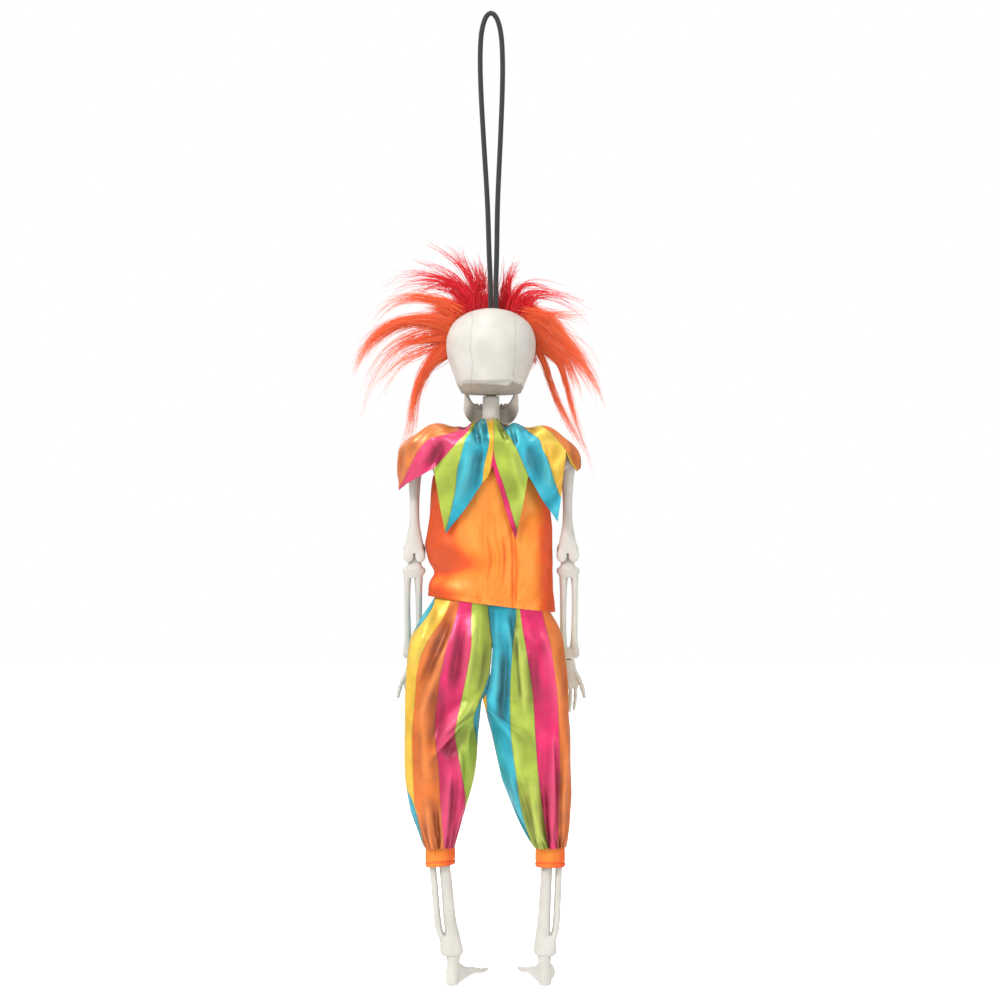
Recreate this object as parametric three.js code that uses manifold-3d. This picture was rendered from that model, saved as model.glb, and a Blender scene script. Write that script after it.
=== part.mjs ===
// A hanging skeleton doll dressed as a clown. Millimetres, +Z up.
// The origin is the inner top of the hanging loop. The doll faces -Y, and its left side is +X.
import * as THREE from 'three';
import { mergeVertices } from 'three/addons/utils/BufferGeometryUtils.js';
import Module from 'manifold-3d';

const wasm = await Module();
wasm.setup();

// Fits and walls
const gap = 0.3; // clear space between pieces that touch
const clothThickness = 1;
const skullWall = 2.2;

// Lengths down the body, each from the one above it
const loopHeight = 172.9; // inner top of the loop to the crown
const skullHeight = 50.7; // crown to the underside of the skull
const neckLength = 25.4; // underside of the skull to the foot of the neck post
const shoulderDrop = 38.4; // underside of the skull to the shoulder axis
const upperArmLength = 55.5; // shoulder axis to elbow axis
const forearmLength = 62.3; // elbow axis to the wrist face
const trunkLength = 106; // shoulder axis to hip axis
const cageHeight = 56; // top to bottom of the ribcage moulding
const waistRise = 25; // hip axis to the trousers' waist edge
const crotchDrop = 30; // hip axis to where the trouser legs part
const thighLength = 92; // hip axis to knee axis
const shinLength = 94.4; // knee axis to the ankle face
const footHeight = 17.2; // ankle face to the sole

// Skull and neck
const skullWidth = 52.8;
const skullFront = 30; // neck axis to the brow
const skullBack = 33.5; // neck axis to the back of the head
const faceSplit = 9; // neck axis forward to the joint between the two skull halves
const neckRadius = 5.3;
const pegRadius = 3;
const snapRadius = 4;
const snapHeight = 2.6;
const pegHeight = 10;
const socketWall = 3.4;
const jawWidth = 32;
const jawHingeRise = 6; // jaw axis over the underside of the skull
const jawHingeForward = 15;
const jawPinRadius = 1.3;
const jawDrop = 17.7; // underside of the skull to the underside of the chin
const chinForward = 27;

// Hanging cord
const cordDiameter = 3;
const loopHalfWidth = 6.6; // middle of the loop to the middle of a strand, where it is widest
const cordBack = 1; // cord behind the neck axis
const cordSide = -1.4; // where the cord enters the crown
const knotDrop = 7.1; // crown to the middle of the knot inside

// Hair strip over the crown, from ear to ear
const stripWidth = 7;
const stripForward = 8; // neck axis forward to the middle of the strip
const stripThickness = 1.2;

// Arms
const armSpread = 45.2; // body centre to the arm
const shoulderForward = 3;
const elbowForward = 2;
const wristForward = 9;
const shoulderBallRadius = 7.2;
const shoulderBallWidth = 11;
const shoulderPinRadius = 1.5;
const elbowPinRadius = 1;
const elbowWidth = 12.8;
const elbowDepth = 4.6;
const elbowTongue = { width: 5.7, radius: 3.3, reach: 7.6 };
const wristPegRadius = 1.3;
const wristPegHeight = 4;
const handOffset = 0.8; // wrist peg outside the arm's own middle
const palmLength = 18;
const palmWidth = 12.6;
const fingerLength = 15;
const fingerRadius = 1.25;
const thumbLength = 18;

// Legs
const hipSpread = 17;
const hipBack = 1;
const hipBallRadius = 6;
const hipBallWidth = 8.6;
const hipPinRadius = 1.5;
const kneePinRadius = 1.2;
const kneeWidth = 13.2;
const kneeDepth = 5.2;
const kneeTongue = { width: 5.9, radius: 3.6, reach: 8.6 };
const ankleBack = 2;
const anklePegRadius = 2;
const anklePegHeight = 5;
const heelRadius = 4;
const footLength = 34; // ankle axis to the toe tips
const shinBow = 0.8;

// Clothes
const hemSlope = 0.128; // the shirt hangs lower at the doll's right
const armholeRadius = 11;
const tape = { left: 3, right: -9, underNeck: 42, overHem: 5 };
const cuffHeight = 11.4;
const cuffTopDown = 30.3; // knee axis to the top of the cuff
const elasticThickness = 0.65;
const trouserBack = 3; // trousers hang this far behind the hips' axis plane

// The two legs are not alike: knees, ankles and trouser legs are given for each side.
// A trouser outline gives its inner and outer edge from the body centre, and depth to each side,
// at shares of the way down from where the legs part to the cuff.
const legs = {
  left: {
    side: 1,
    knee: 34.5,
    ankle: 22.3,
    toeIn: 36,
    cuff: 29.9,
    trousers: [
      { share: 0, inner: 5.3, outer: 50.5, front: 15, back: 17, sweep: 9 },
      { share: 0.2609, inner: 7.7, outer: 50.7, front: 16, back: 17.5, sweep: 6 },
      { share: 0.5652, inner: 10, outer: 50.4, front: 16.5, back: 17, sweep: 3 },
      { share: 0.7663, inner: 15.3, outer: 47.2, front: 15, back: 15.5, sweep: 1 },
      { share: 0.8696, inner: 18.3, outer: 43.6, front: 12.5, back: 13, sweep: 0 },
      { share: 1, inner: 22, outer: 39.4, front: 8, back: 8.4, sweep: 0 },
    ],
  },
  right: {
    side: -1,
    knee: 37.5,
    ankle: 31.5,
    toeIn: 23,
    cuff: 34.9,
    trousers: [
      { share: 0, inner: -4.2, outer: 45.2, front: 15, back: 17, sweep: 9 },
      { share: 0.2609, inner: 0, outer: 46.6, front: 16, back: 17.5, sweep: 6 },
      { share: 0.5652, inner: 6, outer: 46.8, front: 16.5, back: 17, sweep: 3 },
      { share: 0.6957, inner: 11.2, outer: 46.8, front: 16, back: 16.5, sweep: 2 },
      { share: 0.8478, inner: 17.7, outer: 46, front: 12.5, back: 13, sweep: 0 },
      { share: 1, inner: 25.6, outer: 43.8, front: 8, back: 8.4, sweep: 0 },
    ],
  },
};

// Heights worked out from the lengths
const crownZ = -loopHeight;
const skullBaseZ = crownZ - skullHeight;
const neckFootZ = skullBaseZ - neckLength;
const shoulderZ = skullBaseZ - shoulderDrop;
const elbowZ = shoulderZ - upperArmLength;
const wristZ = elbowZ - forearmLength;
const hipZ = shoulderZ - trunkLength;
const kneeZ = hipZ - thighLength;
const ankleZ = kneeZ - shinLength;
const waistZ = hipZ + waistRise;

// Finishes
const finish = (color, roughness, sheen = 0) => ({ color, roughness, metalness: sheen });
const plastic = finish(0xe2e0d5, 0.5);
const orangeSatin = finish(0xff7d1e, 0.35);
const stripedSatin = finish(0xe8307d, 0.35);
const orangeFur = finish(0xff5a22, 0.7);
const redFur = finish(0xdd0a1e, 0.7);
const blackCord = finish(0x2f3233, 0.8);
const whiteElastic = finish(0xe9e6e0, 0.85);
const steel = finish(0xb9bcc0, 0.3, 1);

const doll = new THREE.Group();

// Faces that change a shape by less than the tolerance are merged
const tolerance = 0.1;

function addPart(name, shape, look) {
  const geometry = geometryOf(asSolid(shape).simplify(tolerance));
  const mesh = new THREE.Mesh(geometry, new THREE.MeshStandardMaterial(look));
  mesh.name = name;
  doll.add(mesh);
}

// Solids: conversion, joining and cutting
function solidOf(geometry) {
  const bare = geometry.clone();
  bare.deleteAttribute('normal');
  bare.deleteAttribute('uv');
  const merged = mergeVertices(bare, 1e-4);
  return new wasm.Manifold(
    new wasm.Mesh({
      numProp: 3,
      vertProperties: Float32Array.from(merged.attributes.position.array),
      triVerts: Uint32Array.from(merged.index.array),
    }),
  );
}

function geometryOf(solid) {
  const mesh = solid.getMesh();
  const geometry = new THREE.BufferGeometry();
  geometry.setAttribute('position', new THREE.BufferAttribute(mesh.vertProperties, 3));
  geometry.setIndex(new THREE.BufferAttribute(mesh.triVerts, 1));
  return geometry;
}

const asSolid = (shape) => (shape.isBufferGeometry ? solidOf(shape) : shape);
const join = (...shapes) => shapes.map(asSolid).reduce((a, b) => a.add(b));
const cut = (body, ...tools) => tools.map(asSolid).reduce((a, b) => a.subtract(b), asSolid(body));
const common = (a, b) => asSolid(a).intersect(asSolid(b));

// A closed skin over rings of equally many points, one after another.
// It has a fan of faces at each end, or none where the last ring goes back to the first.
function skin(rings, endless = false) {
  const around = rings[0].length;
  const points = rings.flat();
  const faces = [];
  const spans = endless ? rings.length : rings.length - 1;
  for (let i = 0; i < spans; i += 1) {
    const next = (i + 1) % rings.length;
    for (let j = 0; j < around; j += 1) {
      const k = (j + 1) % around;
      const [a, b] = [i * around + j, i * around + k];
      const [c, d] = [next * around + j, next * around + k];
      faces.push(a, b, d, a, d, c);
    }
  }
  if (!endless) {
    for (const [ring, start, flip] of [
      [rings[0], 0, true],
      [rings.at(-1), (rings.length - 1) * around, false],
    ]) {
      const middle = points.length;
      points.push(ring.reduce((sum, p) => sum.clone().add(p)).divideScalar(around));
      for (let j = 0; j < around; j += 1) {
        const [a, b] = [start + j, start + ((j + 1) % around)];
        faces.push(...(flip ? [middle, b, a] : [middle, a, b]));
      }
    }
  }
  let volume = 0;
  for (let i = 0; i < faces.length; i += 3) {
    const [a, b, c] = faces.slice(i, i + 3).map((n) => points[n]);
    volume += a.dot(b.clone().cross(c));
  }
  if (volume < 0) faces.reverse();
  const geometry = new THREE.BufferGeometry().setFromPoints(points);
  geometry.setIndex(faces);
  return geometry;
}

// One level oval ring. A power over 2 squares it, waves ripple it, slope tips it,
// and sweep draws its +X side (sweepLeft) or -X side (sweepRight) towards the back.
function oval({
  x = 0, y = 0, z, wide, front, back = front, sides = 12, power = 2,
  sweepLeft = 0, sweepRight = 0, waves = 0, depth = 0, phase = 0, slope = 0,
}) {
  const shaped = (v) => Math.sign(v) * Math.abs(v) ** (2 / power);
  return Array.from({ length: sides }, (_, i) => {
    const turn = (2 * Math.PI * i) / sides;
    const [c, s] = [shaped(Math.cos(turn)), shaped(Math.sin(turn))];
    const ripple = 1 + depth * Math.cos(waves * turn + phase);
    const across = wide * c * ripple;
    const along = (s > 0 ? back : front) * s * ripple;
    const sweep = (c > 0 ? sweepLeft : sweepRight) * c * c;
    return new THREE.Vector3(x + across, y + along + sweep, z + slope * across);
  });
}

// A bone or other solid through level ovals
const loft = (levels, common = {}) => skin(levels.map((level) => oval({ ...common, ...level })));

// A cloth tube of even wall: the same ovals outside and drawn in by the wall inside
function clothTube(levels, common = {}, wall = clothThickness) {
  const drawnIn = (level) => ({
    ...level,
    wide: level.wide - wall,
    front: level.front - wall,
    back: (level.back ?? level.front) - wall,
  });
  const rings = [...levels, ...levels.map(drawnIn).reverse()];
  return skin(rings.map((level) => oval({ ...common, ...level })), true);
}

// A bar along X from one x to another
function barX(radius, from, to, y, z, sides = 10) {
  const bar = new THREE.CylinderGeometry(radius, radius, Math.abs(to - from), sides);
  return bar.rotateZ(Math.PI / 2).translate((from + to) / 2, y, z);
}

function barZ(radius, from, to, x, y, sides = 10) {
  const bar = new THREE.CylinderGeometry(radius, radius, Math.abs(to - from), sides);
  return bar.rotateX(Math.PI / 2).translate(x, y, (from + to) / 2);
}

function block(x0, x1, y0, y1, z0, z1) {
  const [w, d, h] = [Math.abs(x1 - x0), Math.abs(y1 - y0), Math.abs(z1 - z0)];
  return new THREE.BoxGeometry(w, d, h).translate((x0 + x1) / 2, (y0 + y1) / 2, (z0 + z1) / 2);
}

function ball(x, y, z, rx, ry, rz, around = 12, rings = 8) {
  return new THREE.SphereGeometry(1, around, rings).scale(rx, ry, rz).translate(x, y, z);
}

// A tapered strand through points, round in section
function strand(points, rootRadius, tipRadius, steps = 5, sides = 5) {
  const curve = new THREE.CatmullRomCurve3(points.map((p) => new THREE.Vector3(...p)));
  const frames = curve.computeFrenetFrames(steps);
  const rings = curve.getSpacedPoints(steps).map((middle, i) => {
    const radius = rootRadius + (tipRadius - rootRadius) * (i / steps);
    return Array.from({ length: sides }, (_, j) => {
      const turn = (2 * Math.PI * j) / sides;
      return middle
        .clone()
        .addScaledVector(frames.normals[i], radius * Math.cos(turn))
        .addScaledVector(frames.binormals[i], radius * Math.sin(turn));
    });
  });
  return skin(rings);
}

// A level hoop of round section, its front lower than its back by twice the tilt
function hoop({ y = 0, z, wide, deep, tilt = 0, radius, steps = 16, sides = 5 }) {
  const rings = Array.from({ length: steps }, (_, i) => {
    const u = (2 * Math.PI * i) / steps;
    return Array.from({ length: sides }, (_, j) => {
      const v = (2 * Math.PI * j) / sides;
      const out = radius * Math.cos(v);
      return new THREE.Vector3(
        (wide + out) * Math.cos(u),
        y + (deep + out) * Math.sin(u),
        z + tilt * Math.sin(u) + radius * Math.sin(v),
      );
    });
  });
  return skin(rings, true);
}

// A knob turned about the X axis: radius against distance from its inner face
function knobX(profile, innerX, side, y, z, sides = 12) {
  const points = profile.map(([radius, out]) => new THREE.Vector2(radius, out));
  const knob = new THREE.LatheGeometry(points, sides).rotateZ(-Math.PI / 2);
  if (side < 0) knob.rotateZ(Math.PI);
  return knob.translate(side * innerX, y, z);
}

// A value of a table of levels at a share of its height, in straight lines between the levels
function levelAt(levels, share, key) {
  const found = levels.findIndex((level) => level.share >= share);
  const next = found < 0 ? levels.length - 1 : Math.max(1, found);
  const [a, b] = [levels[next - 1], levels[next]];
  return a[key] + ((b[key] - a[key]) * (share - a.share)) / (b.share - a.share);
}

// Skull outline from the crown down: shares of its height, half width, front and back depth
const skullLevels = [
  { down: 0, wide: 0.2, front: 0.3, back: 0.28 },
  { down: 0.05, wide: 0.52, front: 0.62, back: 0.58 },
  { down: 0.16, wide: 0.82, front: 0.88, back: 0.82 },
  { down: 0.3, wide: 0.97, front: 0.98, back: 0.95 },
  { down: 0.43, wide: 1, front: 1, back: 1 },
  { down: 0.57, wide: 0.97, front: 0.97, back: 0.98 },
  { down: 0.7, wide: 0.89, front: 0.92, back: 0.9 },
  { down: 0.86, wide: 0.765, front: 0.88, back: 0.72 },
  { down: 0.96, wide: 0.67, front: 0.84, back: 0.5 },
  { down: 1, wide: 0.6, front: 0.8, back: 0.38 },
];

// The skull's outer form, grown or shrunk all round by an allowance
function skullForm(allowance = 0, sides = 18) {
  const halfWidth = skullWidth / 2;
  return loft(
    skullLevels.map(({ down, wide, front, back }) => ({
      z: crownZ - skullHeight * down + allowance * (1 - 2 * down),
      wide: halfWidth * wide + allowance,
      front: skullFront * front + allowance,
      back: skullBack * back + allowance,
    })),
    { sides, power: 2.15 },
  );
}

const jawAxis = { y: -jawHingeForward, z: skullBaseZ + jawHingeRise };

function makeSkull() {
  const teethZ = skullBaseZ + 1.2;
  const eyeX = skullWidth * 0.205;
  const eyeZ = crownZ - skullHeight * 0.62;
  const faceY = -skullFront;
  const cheek = (side) => ball(side * skullWidth * 0.36, faceY + 7, eyeZ - 9, 4.6, 7, 4, 8, 5);
  const upperJaw = loft(
    [
      { z: teethZ, wide: 9.5, front: 8.5, back: 6 },
      { z: teethZ + 5, wide: 11, front: 9, back: 7 },
      { z: teethZ + 13, wide: 9, front: 6.5, back: 7 },
    ],
    { y: faceY + 6.5, sides: 14 },
  );
  const outer = join(skullForm(), cheek(1), cheek(-1), upperJaw);
  const inner = skullForm(-skullWall, 12);
  const socketTop = skullBaseZ + pegHeight + snapHeight;
  const boss = barZ(snapRadius + socketWall, skullBaseZ + 1, socketTop + socketWall, 0, 0);
  const bore = barZ(pegRadius + gap, skullBaseZ - 1, socketTop, 0, 0);
  const snap = barZ(snapRadius + gap, skullBaseZ + pegHeight - gap, socketTop + gap, 0, 0);
  const crownHole = ball(cordSide, cordBack, crownZ, cordDiameter * 1.25, cordDiameter * 0.8, 8, 12, 6);
  const eyeBowls = [1, -1].map((s) => ball(s * eyeX, faceY + 1, eyeZ, 7.6, 9.6, 7.2, 10, 6));
  const eyeHollows = [1, -1].map((s) => ball(s * eyeX, faceY - 1.5, eyeZ, 6, 9.2, 5.6, 10, 6));
  const noseBowl = ball(0, faceY + 1, eyeZ - 8.5, 4.6, 7, 6.4, 8, 5);
  const noseHollow = ball(0, faceY - 1.5, eyeZ - 9, 2.8, 6.6, 4.6, 8, 5);
  const bowls = common(join(...eyeBowls, noseBowl), outer);
  const shell = cut(join(cut(outer, inner), boss, bowls), ...eyeHollows, noseHollow);
  const pierced = cut(shell, bore, snap, crownHole);
  const far = 100;
  const behind = block(-far, far, -faceSplit + gap / 2, far, skullBaseZ - far, crownZ + far);
  addPart('cranium_back', common(pierced, behind), plastic);

  // The front half is open below, where the jaw's arms go up between two hinge bosses
  const jawRoom = block(
    -jawWidth / 2 - gap, jawWidth / 2 + gap,
    -faceSplit, jawAxis.y - 7,
    skullBaseZ - 5, jawAxis.z + 5,
  );
  const bosses = [1, -1].map((s) => barX(3.4, s * (jawWidth / 2 + gap), s * 20, jawAxis.y, jawAxis.z));
  const holes = [1, -1].map((s) =>
    barX(jawPinRadius + gap, s * (jawWidth / 2), s * (jawWidth / 2 + 2.4), jawAxis.y, jawAxis.z),
  );
  const ahead = block(-far, far, -far, -faceSplit - gap / 2, skullBaseZ - far, crownZ + far);
  const front = common(cut(shell, crownHole), ahead);
  const bossesInside = common(join(...bosses), join(skullForm()));
  addPart('face_shell', cut(join(cut(front, jawRoom), bossesInside), ...holes), plastic);
}

function makeJaw() {
  const chinZ = skullBaseZ - jawDrop;
  const bodyTop = chinZ + 11;
  const halfWidth = jawWidth / 2;
  // The jaw's body is a bent bar: an outer form less an inner one, open at the back
  const bend = (inset) =>
    loft(
      [
        { z: chinZ - inset, wide: 8 - inset, front: chinForward - 1 - inset, back: 4 },
        { z: chinZ + 3, wide: 11.5 - inset, front: chinForward + 0.5 - inset, back: 4 },
        { z: bodyTop + inset, wide: 13.5 - inset, front: chinForward - inset, back: 4 },
      ],
      { sides: 20, power: 2.3 },
    );
  const wall = 2.6;
  const body = cut(bend(0), bend(wall), block(-30, 30, -11, 30, chinZ - 5, bodyTop + 5));
  const underFloor = cut(body, block(-30, 30, -11, 30, chinZ - 9, bodyTop));
  const arms = [1, -1].map((s) =>
    join(
      skin(
        [
          [s * 9.6, -11, chinZ + 2.5],
          [s * (halfWidth - 1.8), -13.5, skullBaseZ - 1],
          [s * (halfWidth - 1.3), jawAxis.y, jawAxis.z],
        ].map(([x, y, z], i) => oval({ x, y: y - 1, z, wide: 1.3, front: 4.2 - i * 0.6, sides: 8 })),
      ),
      barX(2.4, s * (halfWidth - 2.6), s * halfWidth, jawAxis.y, jawAxis.z, 10),
      barX(jawPinRadius, s * (halfWidth - 1), s * (halfWidth + 2.1), jawAxis.y, jawAxis.z, 10),
    ),
  );
  addPart('jawbone', join(underFloor, ...arms), plastic);
}

// The cord's middle line, from inside the crown up round the loop and back
function makeLoop() {
  const half = cordDiameter / 2 + 0.12;
  const [x0, y0] = [cordSide, cordBack];
  const top = cordDiameter / 2;
  const wide = loopHalfWidth;
  const rise = [
    [-half, crownZ - 4],
    [-half, crownZ + 14],
    [-half - 0.6, crownZ + 32],
    [-wide * 0.46, crownZ * 0.636],
    [-wide * 0.76, crownZ * 0.416],
    [-wide * 0.95, crownZ * 0.26],
    [-wide, crownZ * 0.15],
    [-wide * 0.88, crownZ * 0.064],
    [-wide * 0.52, crownZ * 0.01],
  ];
  const up = rise.map(([x, z]) => new THREE.Vector3(x0 * (-z / loopHeight) + x, y0, z));
  const down = rise.map(([x, z]) => new THREE.Vector3(x0 * (-z / loopHeight) - x, y0, z)).reverse();
  const path = new THREE.CatmullRomCurve3([...up, new THREE.Vector3(0, y0, top), ...down]);
  const section = new THREE.Shape(
    Array.from({ length: 8 }, (_, i) => {
      const turn = (Math.PI * (i + 0.5)) / 4;
      return new THREE.Vector2(Math.cos(turn), Math.sin(turn)).multiplyScalar(cordDiameter / 2);
    }),
  );
  addPart(
    'hanging_loop',
    new THREE.ExtrudeGeometry(section, { steps: 50, bevelEnabled: false, extrudePath: path }),
    blackCord,
  );
  const knot = new THREE.TorusKnotGeometry(3.1, cordDiameter * 0.42, 32, 5, 2, 3);
  addPart('loop_knot', knot.translate(x0, y0, crownZ - knotDrop), blackCord);
}

// A strip of backing on the skull, and tapered locks that grow out of it
function makeHair(name, look, sector, locks) {
  const [y0, y1] = [-stripForward - stripWidth / 2, -stripForward + stripWidth / 2];
  const clear = skullForm(gap);
  const strip = cut(skullForm(gap + stripThickness), clear);
  const [x0, x1, z0, z1] = sector;
  const band = common(strip, block(x0, x1, y0, y1, z0, z1));
  const tufts = locks.map(({ points, radius }) =>
    strand(points.map(([x, y, z]) => [x, y - stripForward, crownZ + z]), radius, 0.7),
  );
  const cordRoom = barZ(loopHalfWidth * 0.5 + 1.2, crownZ - 5, crownZ + 60, cordSide, cordBack, 10);
  addPart(name, cut(join(band, ...tufts), clear, cordRoom), look);
}

function makeAllHair() {
  const parting = 19; // half width of the red part of the strip
  const earZ = crownZ - 31;
  makeHair('hair_crown_red', redFur, [-parting, parting, crownZ - 20, crownZ + 10], [
    { points: [[11, 0, -2], [34, -2, 13], [61, -4, 15]], radius: 5.5 },
    { points: [[8, 2, 0], [24, 0, 20], [42, 0, 33]], radius: 5.5 },
    { points: [[4, -1, 0], [9, 1, 20], [17, 2, 38]], radius: 5 },
    { points: [[-6, -1, 0], [-14, -1, 18], [-24, -2, 32]], radius: 5 },
    { points: [[-10, 1, -1], [-30, 0, 12], [-50, -2, 12]], radius: 5.5 },
    { points: [[-12, 0, -2], [-38, -2, 7], [-66, -4, -1]], radius: 4.6 },
  ]);
  makeHair('hair_left_orange', orangeFur, [parting + gap, 40, earZ, crownZ], [
    { points: [[21, 0, -6], [46, 2, 7], [78, 0, -15]], radius: 4.4 },
    { points: [[23.5, 1, -13], [54, 2, -9], [73, 0, -21], [82, -1, -38]], radius: 4.6 },
    { points: [[25, 0, -20], [47, -1, -16], [60, -2, -28]], radius: 3.8 },
    { points: [[25.5, 0, -27], [38, 1, -38], [46, 0, -53], [49, 0, -69]], radius: 3.6 },
  ]);
  makeHair('hair_right_orange', orangeFur, [-40, -parting - gap, earZ, crownZ], [
    { points: [[-23, 0, -10], [-37, 2, -13], [-53, 1, -29], [-65, 0, -50]], radius: 4.2 },
    { points: [[-24.5, 0, -17], [-42, 0, -33], [-58, -1, -56]], radius: 4.2 },
    { points: [[-25.5, 1, -25], [-37, 2, -44], [-48, 0, -64], [-58, -2, -92]], radius: 3.6 },
    { points: [[-25, -1, -29], [-35, -2, -48], [-45, -3, -66]], radius: 3.2 },
  ]);
}

// Neck post with its snap peg, both turned about Z
function makeNeck() {
  const pegTop = skullBaseZ + pegHeight;
  const profile = [
    [0, neckFootZ],
    [neckRadius, neckFootZ],
    [neckRadius, skullBaseZ - gap],
    [pegRadius, skullBaseZ - gap],
    [pegRadius, pegTop],
    [snapRadius, pegTop + gap],
    [snapRadius * 0.8, pegTop + snapHeight - gap],
    [0, pegTop + snapHeight - gap],
  ].map(([radius, z]) => new THREE.Vector2(radius, z));
  addPart('neck_post', new THREE.LatheGeometry(profile, 14).rotateX(Math.PI / 2), plastic);
}

const ribs = [
  { wide: 14.5, deep: 9.5 },
  { wide: 20, deep: 11.8 },
  { wide: 24, deep: 13.4 },
  { wide: 26, deep: 14.2 },
  { wide: 26, deep: 14.2 },
  { wide: 25, deep: 13.6 },
  { wide: 23, deep: 12.6 },
];
const ribPitch = 7.5;
const ribRadius = 1.3;
const spineBack = 10;
const spineTopZ = neckFootZ - gap - cageHeight;
const spineFootZ = waistZ + 1;
const spinePeg = 1.6;

function makeTrunk() {
  const topZ = neckFootZ - gap;
  const firstRibZ = topZ - 6.5;
  const cage = ribs.map(({ wide, deep }, i) =>
    hoop({ z: firstRibZ - i * ribPitch, wide, deep, tilt: 2.6, radius: ribRadius, steps: 12, sides: 4 }),
  );
  const column = loft(
    [
      { z: spineTopZ, y: spineBack, wide: 4.2, front: 4 },
      { z: spineTopZ + 20, y: spineBack + 2, wide: 3.4, front: 3.4 },
      { z: topZ - 14, y: spineBack, wide: 3.4, front: 3.4 },
      { z: topZ - 4, y: 2, wide: 5, front: 5 },
      { z: topZ, y: 0, wide: 6, front: 6 },
    ],
    { sides: 10 },
  );
  const breastbone = loft(
    [
      { z: firstRibZ - 4.5 * ribPitch, y: -15.6, wide: 1.6, front: 1.2 },
      { z: firstRibZ - 2.6 * ribPitch, y: -14.4, wide: 2.6, front: 1.4 },
      { z: firstRibZ - 1.2 * ribPitch, y: -11.6, wide: 3, front: 1.5 },
      { z: firstRibZ + 1.2, y: -8.6, wide: 4.6, front: 1.5 },
    ],
    { sides: 8 },
  );
  const nubEnd = armSpread - shoulderBallWidth / 2 - gap - 1.4;
  const girdle = [1, -1].map((s) => {
    const nub = barX(5, s * (nubEnd - 12), s * nubEnd, -shoulderForward, shoulderZ, 10);
    const collarBone = strand(
      [[s * 3, -9, firstRibZ + 0.5], [s * 16, -9, shoulderZ + 3.5], [s * (nubEnd - 8), -4, shoulderZ + 2.5]],
      1.8, 2.2, 2, 4,
    );
    const blade = ball(s * 15, 11.6, shoulderZ - 9, 6.4, 1.8, 11, 8, 4);
    const spur = strand(
      [[s * 13, 11, shoulderZ - 1], [s * 23, 8, shoulderZ], [s * (nubEnd - 7), 0, shoulderZ + 1]],
      1.8, 2.6, 2, 4,
    );
    return join(nub, collarBone, blade, spur);
  });
  const pinHoles = [1, -1].map((s) =>
    barX(shoulderPinRadius + gap, s * (nubEnd - 6.6), s * (nubEnd + 1), -shoulderForward, shoulderZ, 10),
  );
  const spineHole = barZ(spinePeg + gap, spineTopZ - 1, spineTopZ + 4, 0, spineBack, 10);
  addPart('ribcage', cut(join(...cage, column, breastbone, ...girdle), ...pinHoles, spineHole), plastic);

  const vertebra = (spineTopZ - gap - spineFootZ) / 5;
  const bumps = Array.from({ length: 5 }, (_, i) => [
    [3.4, spineFootZ + vertebra * i],
    [4.4, spineFootZ + vertebra * (i + 0.35)],
    [4.4, spineFootZ + vertebra * (i + 0.65)],
  ]).flat();
  const spineTop = spineTopZ - gap;
  const spineProfile = [
    [0, spineFootZ - 3],
    [spinePeg, spineFootZ - 3],
    [spinePeg, spineFootZ],
    ...bumps,
    [3.4, spineTop],
    [spinePeg, spineTop],
    [spinePeg, spineTop + 3.4],
    [0, spineTop + 3.4],
  ].map(([radius, z]) => new THREE.Vector2(radius, z));
  const spine = new THREE.LatheGeometry(spineProfile, 10).rotateX(Math.PI / 2);
  addPart('spine', spine.translate(0, spineBack, 0), plastic);

  for (const [name, side] of [['left', 1], ['right', -1]]) {
    const pinEnd = armSpread + shoulderBallWidth / 2 - 5;
    const pin = barX(shoulderPinRadius, side * (nubEnd - 6), side * pinEnd, -shoulderForward, shoulderZ);
    addPart(`${name}_shoulder_pin`, pin, steel);
  }
}

function makePelvis() {
  const ringZ = hipZ + 12;
  const lugOuter = hipSpread - hipBallWidth / 2 - gap;
  const sacrum = loft(
    [
      { z: hipZ - 4, y: spineBack + 1.5, wide: 2.6, front: 1.8 },
      { z: hipZ + 10, y: spineBack + 2, wide: 6, front: 3 },
      { z: spineFootZ - gap, y: spineBack, wide: 6.5, front: 4.4 },
    ],
    { sides: 10 },
  );
  const wings = [1, -1].map((s) =>
    new THREE.SphereGeometry(1, 10, 6)
      .scale(2.4, 10, 10.5)
      .rotateY(s * 0.45)
      .translate(s * 17.5, 2, hipZ + 17),
  );
  const rim = hoop({ y: 1.5, z: ringZ, wide: 14, deep: 11.5, tilt: 1.5, radius: 2.7, steps: 12 });
  const lugs = [1, -1].map((s) =>
    join(
      barX(5, s * (lugOuter - 6.6), s * lugOuter, hipBack, hipZ),
      block(s * (lugOuter - 6), s * (lugOuter - 0.6), -6.5, 6, hipZ, ringZ + 0.5),
    ),
  );
  const frontBar = barX(2.3, -lugOuter + 3, lugOuter - 3, -8, ringZ - 4, 8);
  const ballRoom = [1, -1].map((s) =>
    barX(hipBallRadius + 1.2, s * (lugOuter - 0.01), s * (hipSpread + 14), hipBack, hipZ),
  );
  const pinHoles = [1, -1].map((s) =>
    barX(hipPinRadius + gap, s * (lugOuter - 5.3), s * (lugOuter + 1), hipBack, hipZ),
  );
  const spineHole = barZ(spinePeg + gap, spineFootZ - 4, spineFootZ + 1, 0, spineBack, 10);
  const whole = join(sacrum, ...wings, rim, ...lugs, frontBar);
  addPart('pelvis', cut(whole, ...ballRoom, ...pinHoles, spineHole), plastic);
  for (const [name, side] of [['left', 1], ['right', -1]]) {
    const pin = barX(hipPinRadius, side * (lugOuter - 5), side * (hipSpread + 2.5), hipBack, hipZ);
    addPart(`${name}_hip_pin`, pin, steel);
  }
}

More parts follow.
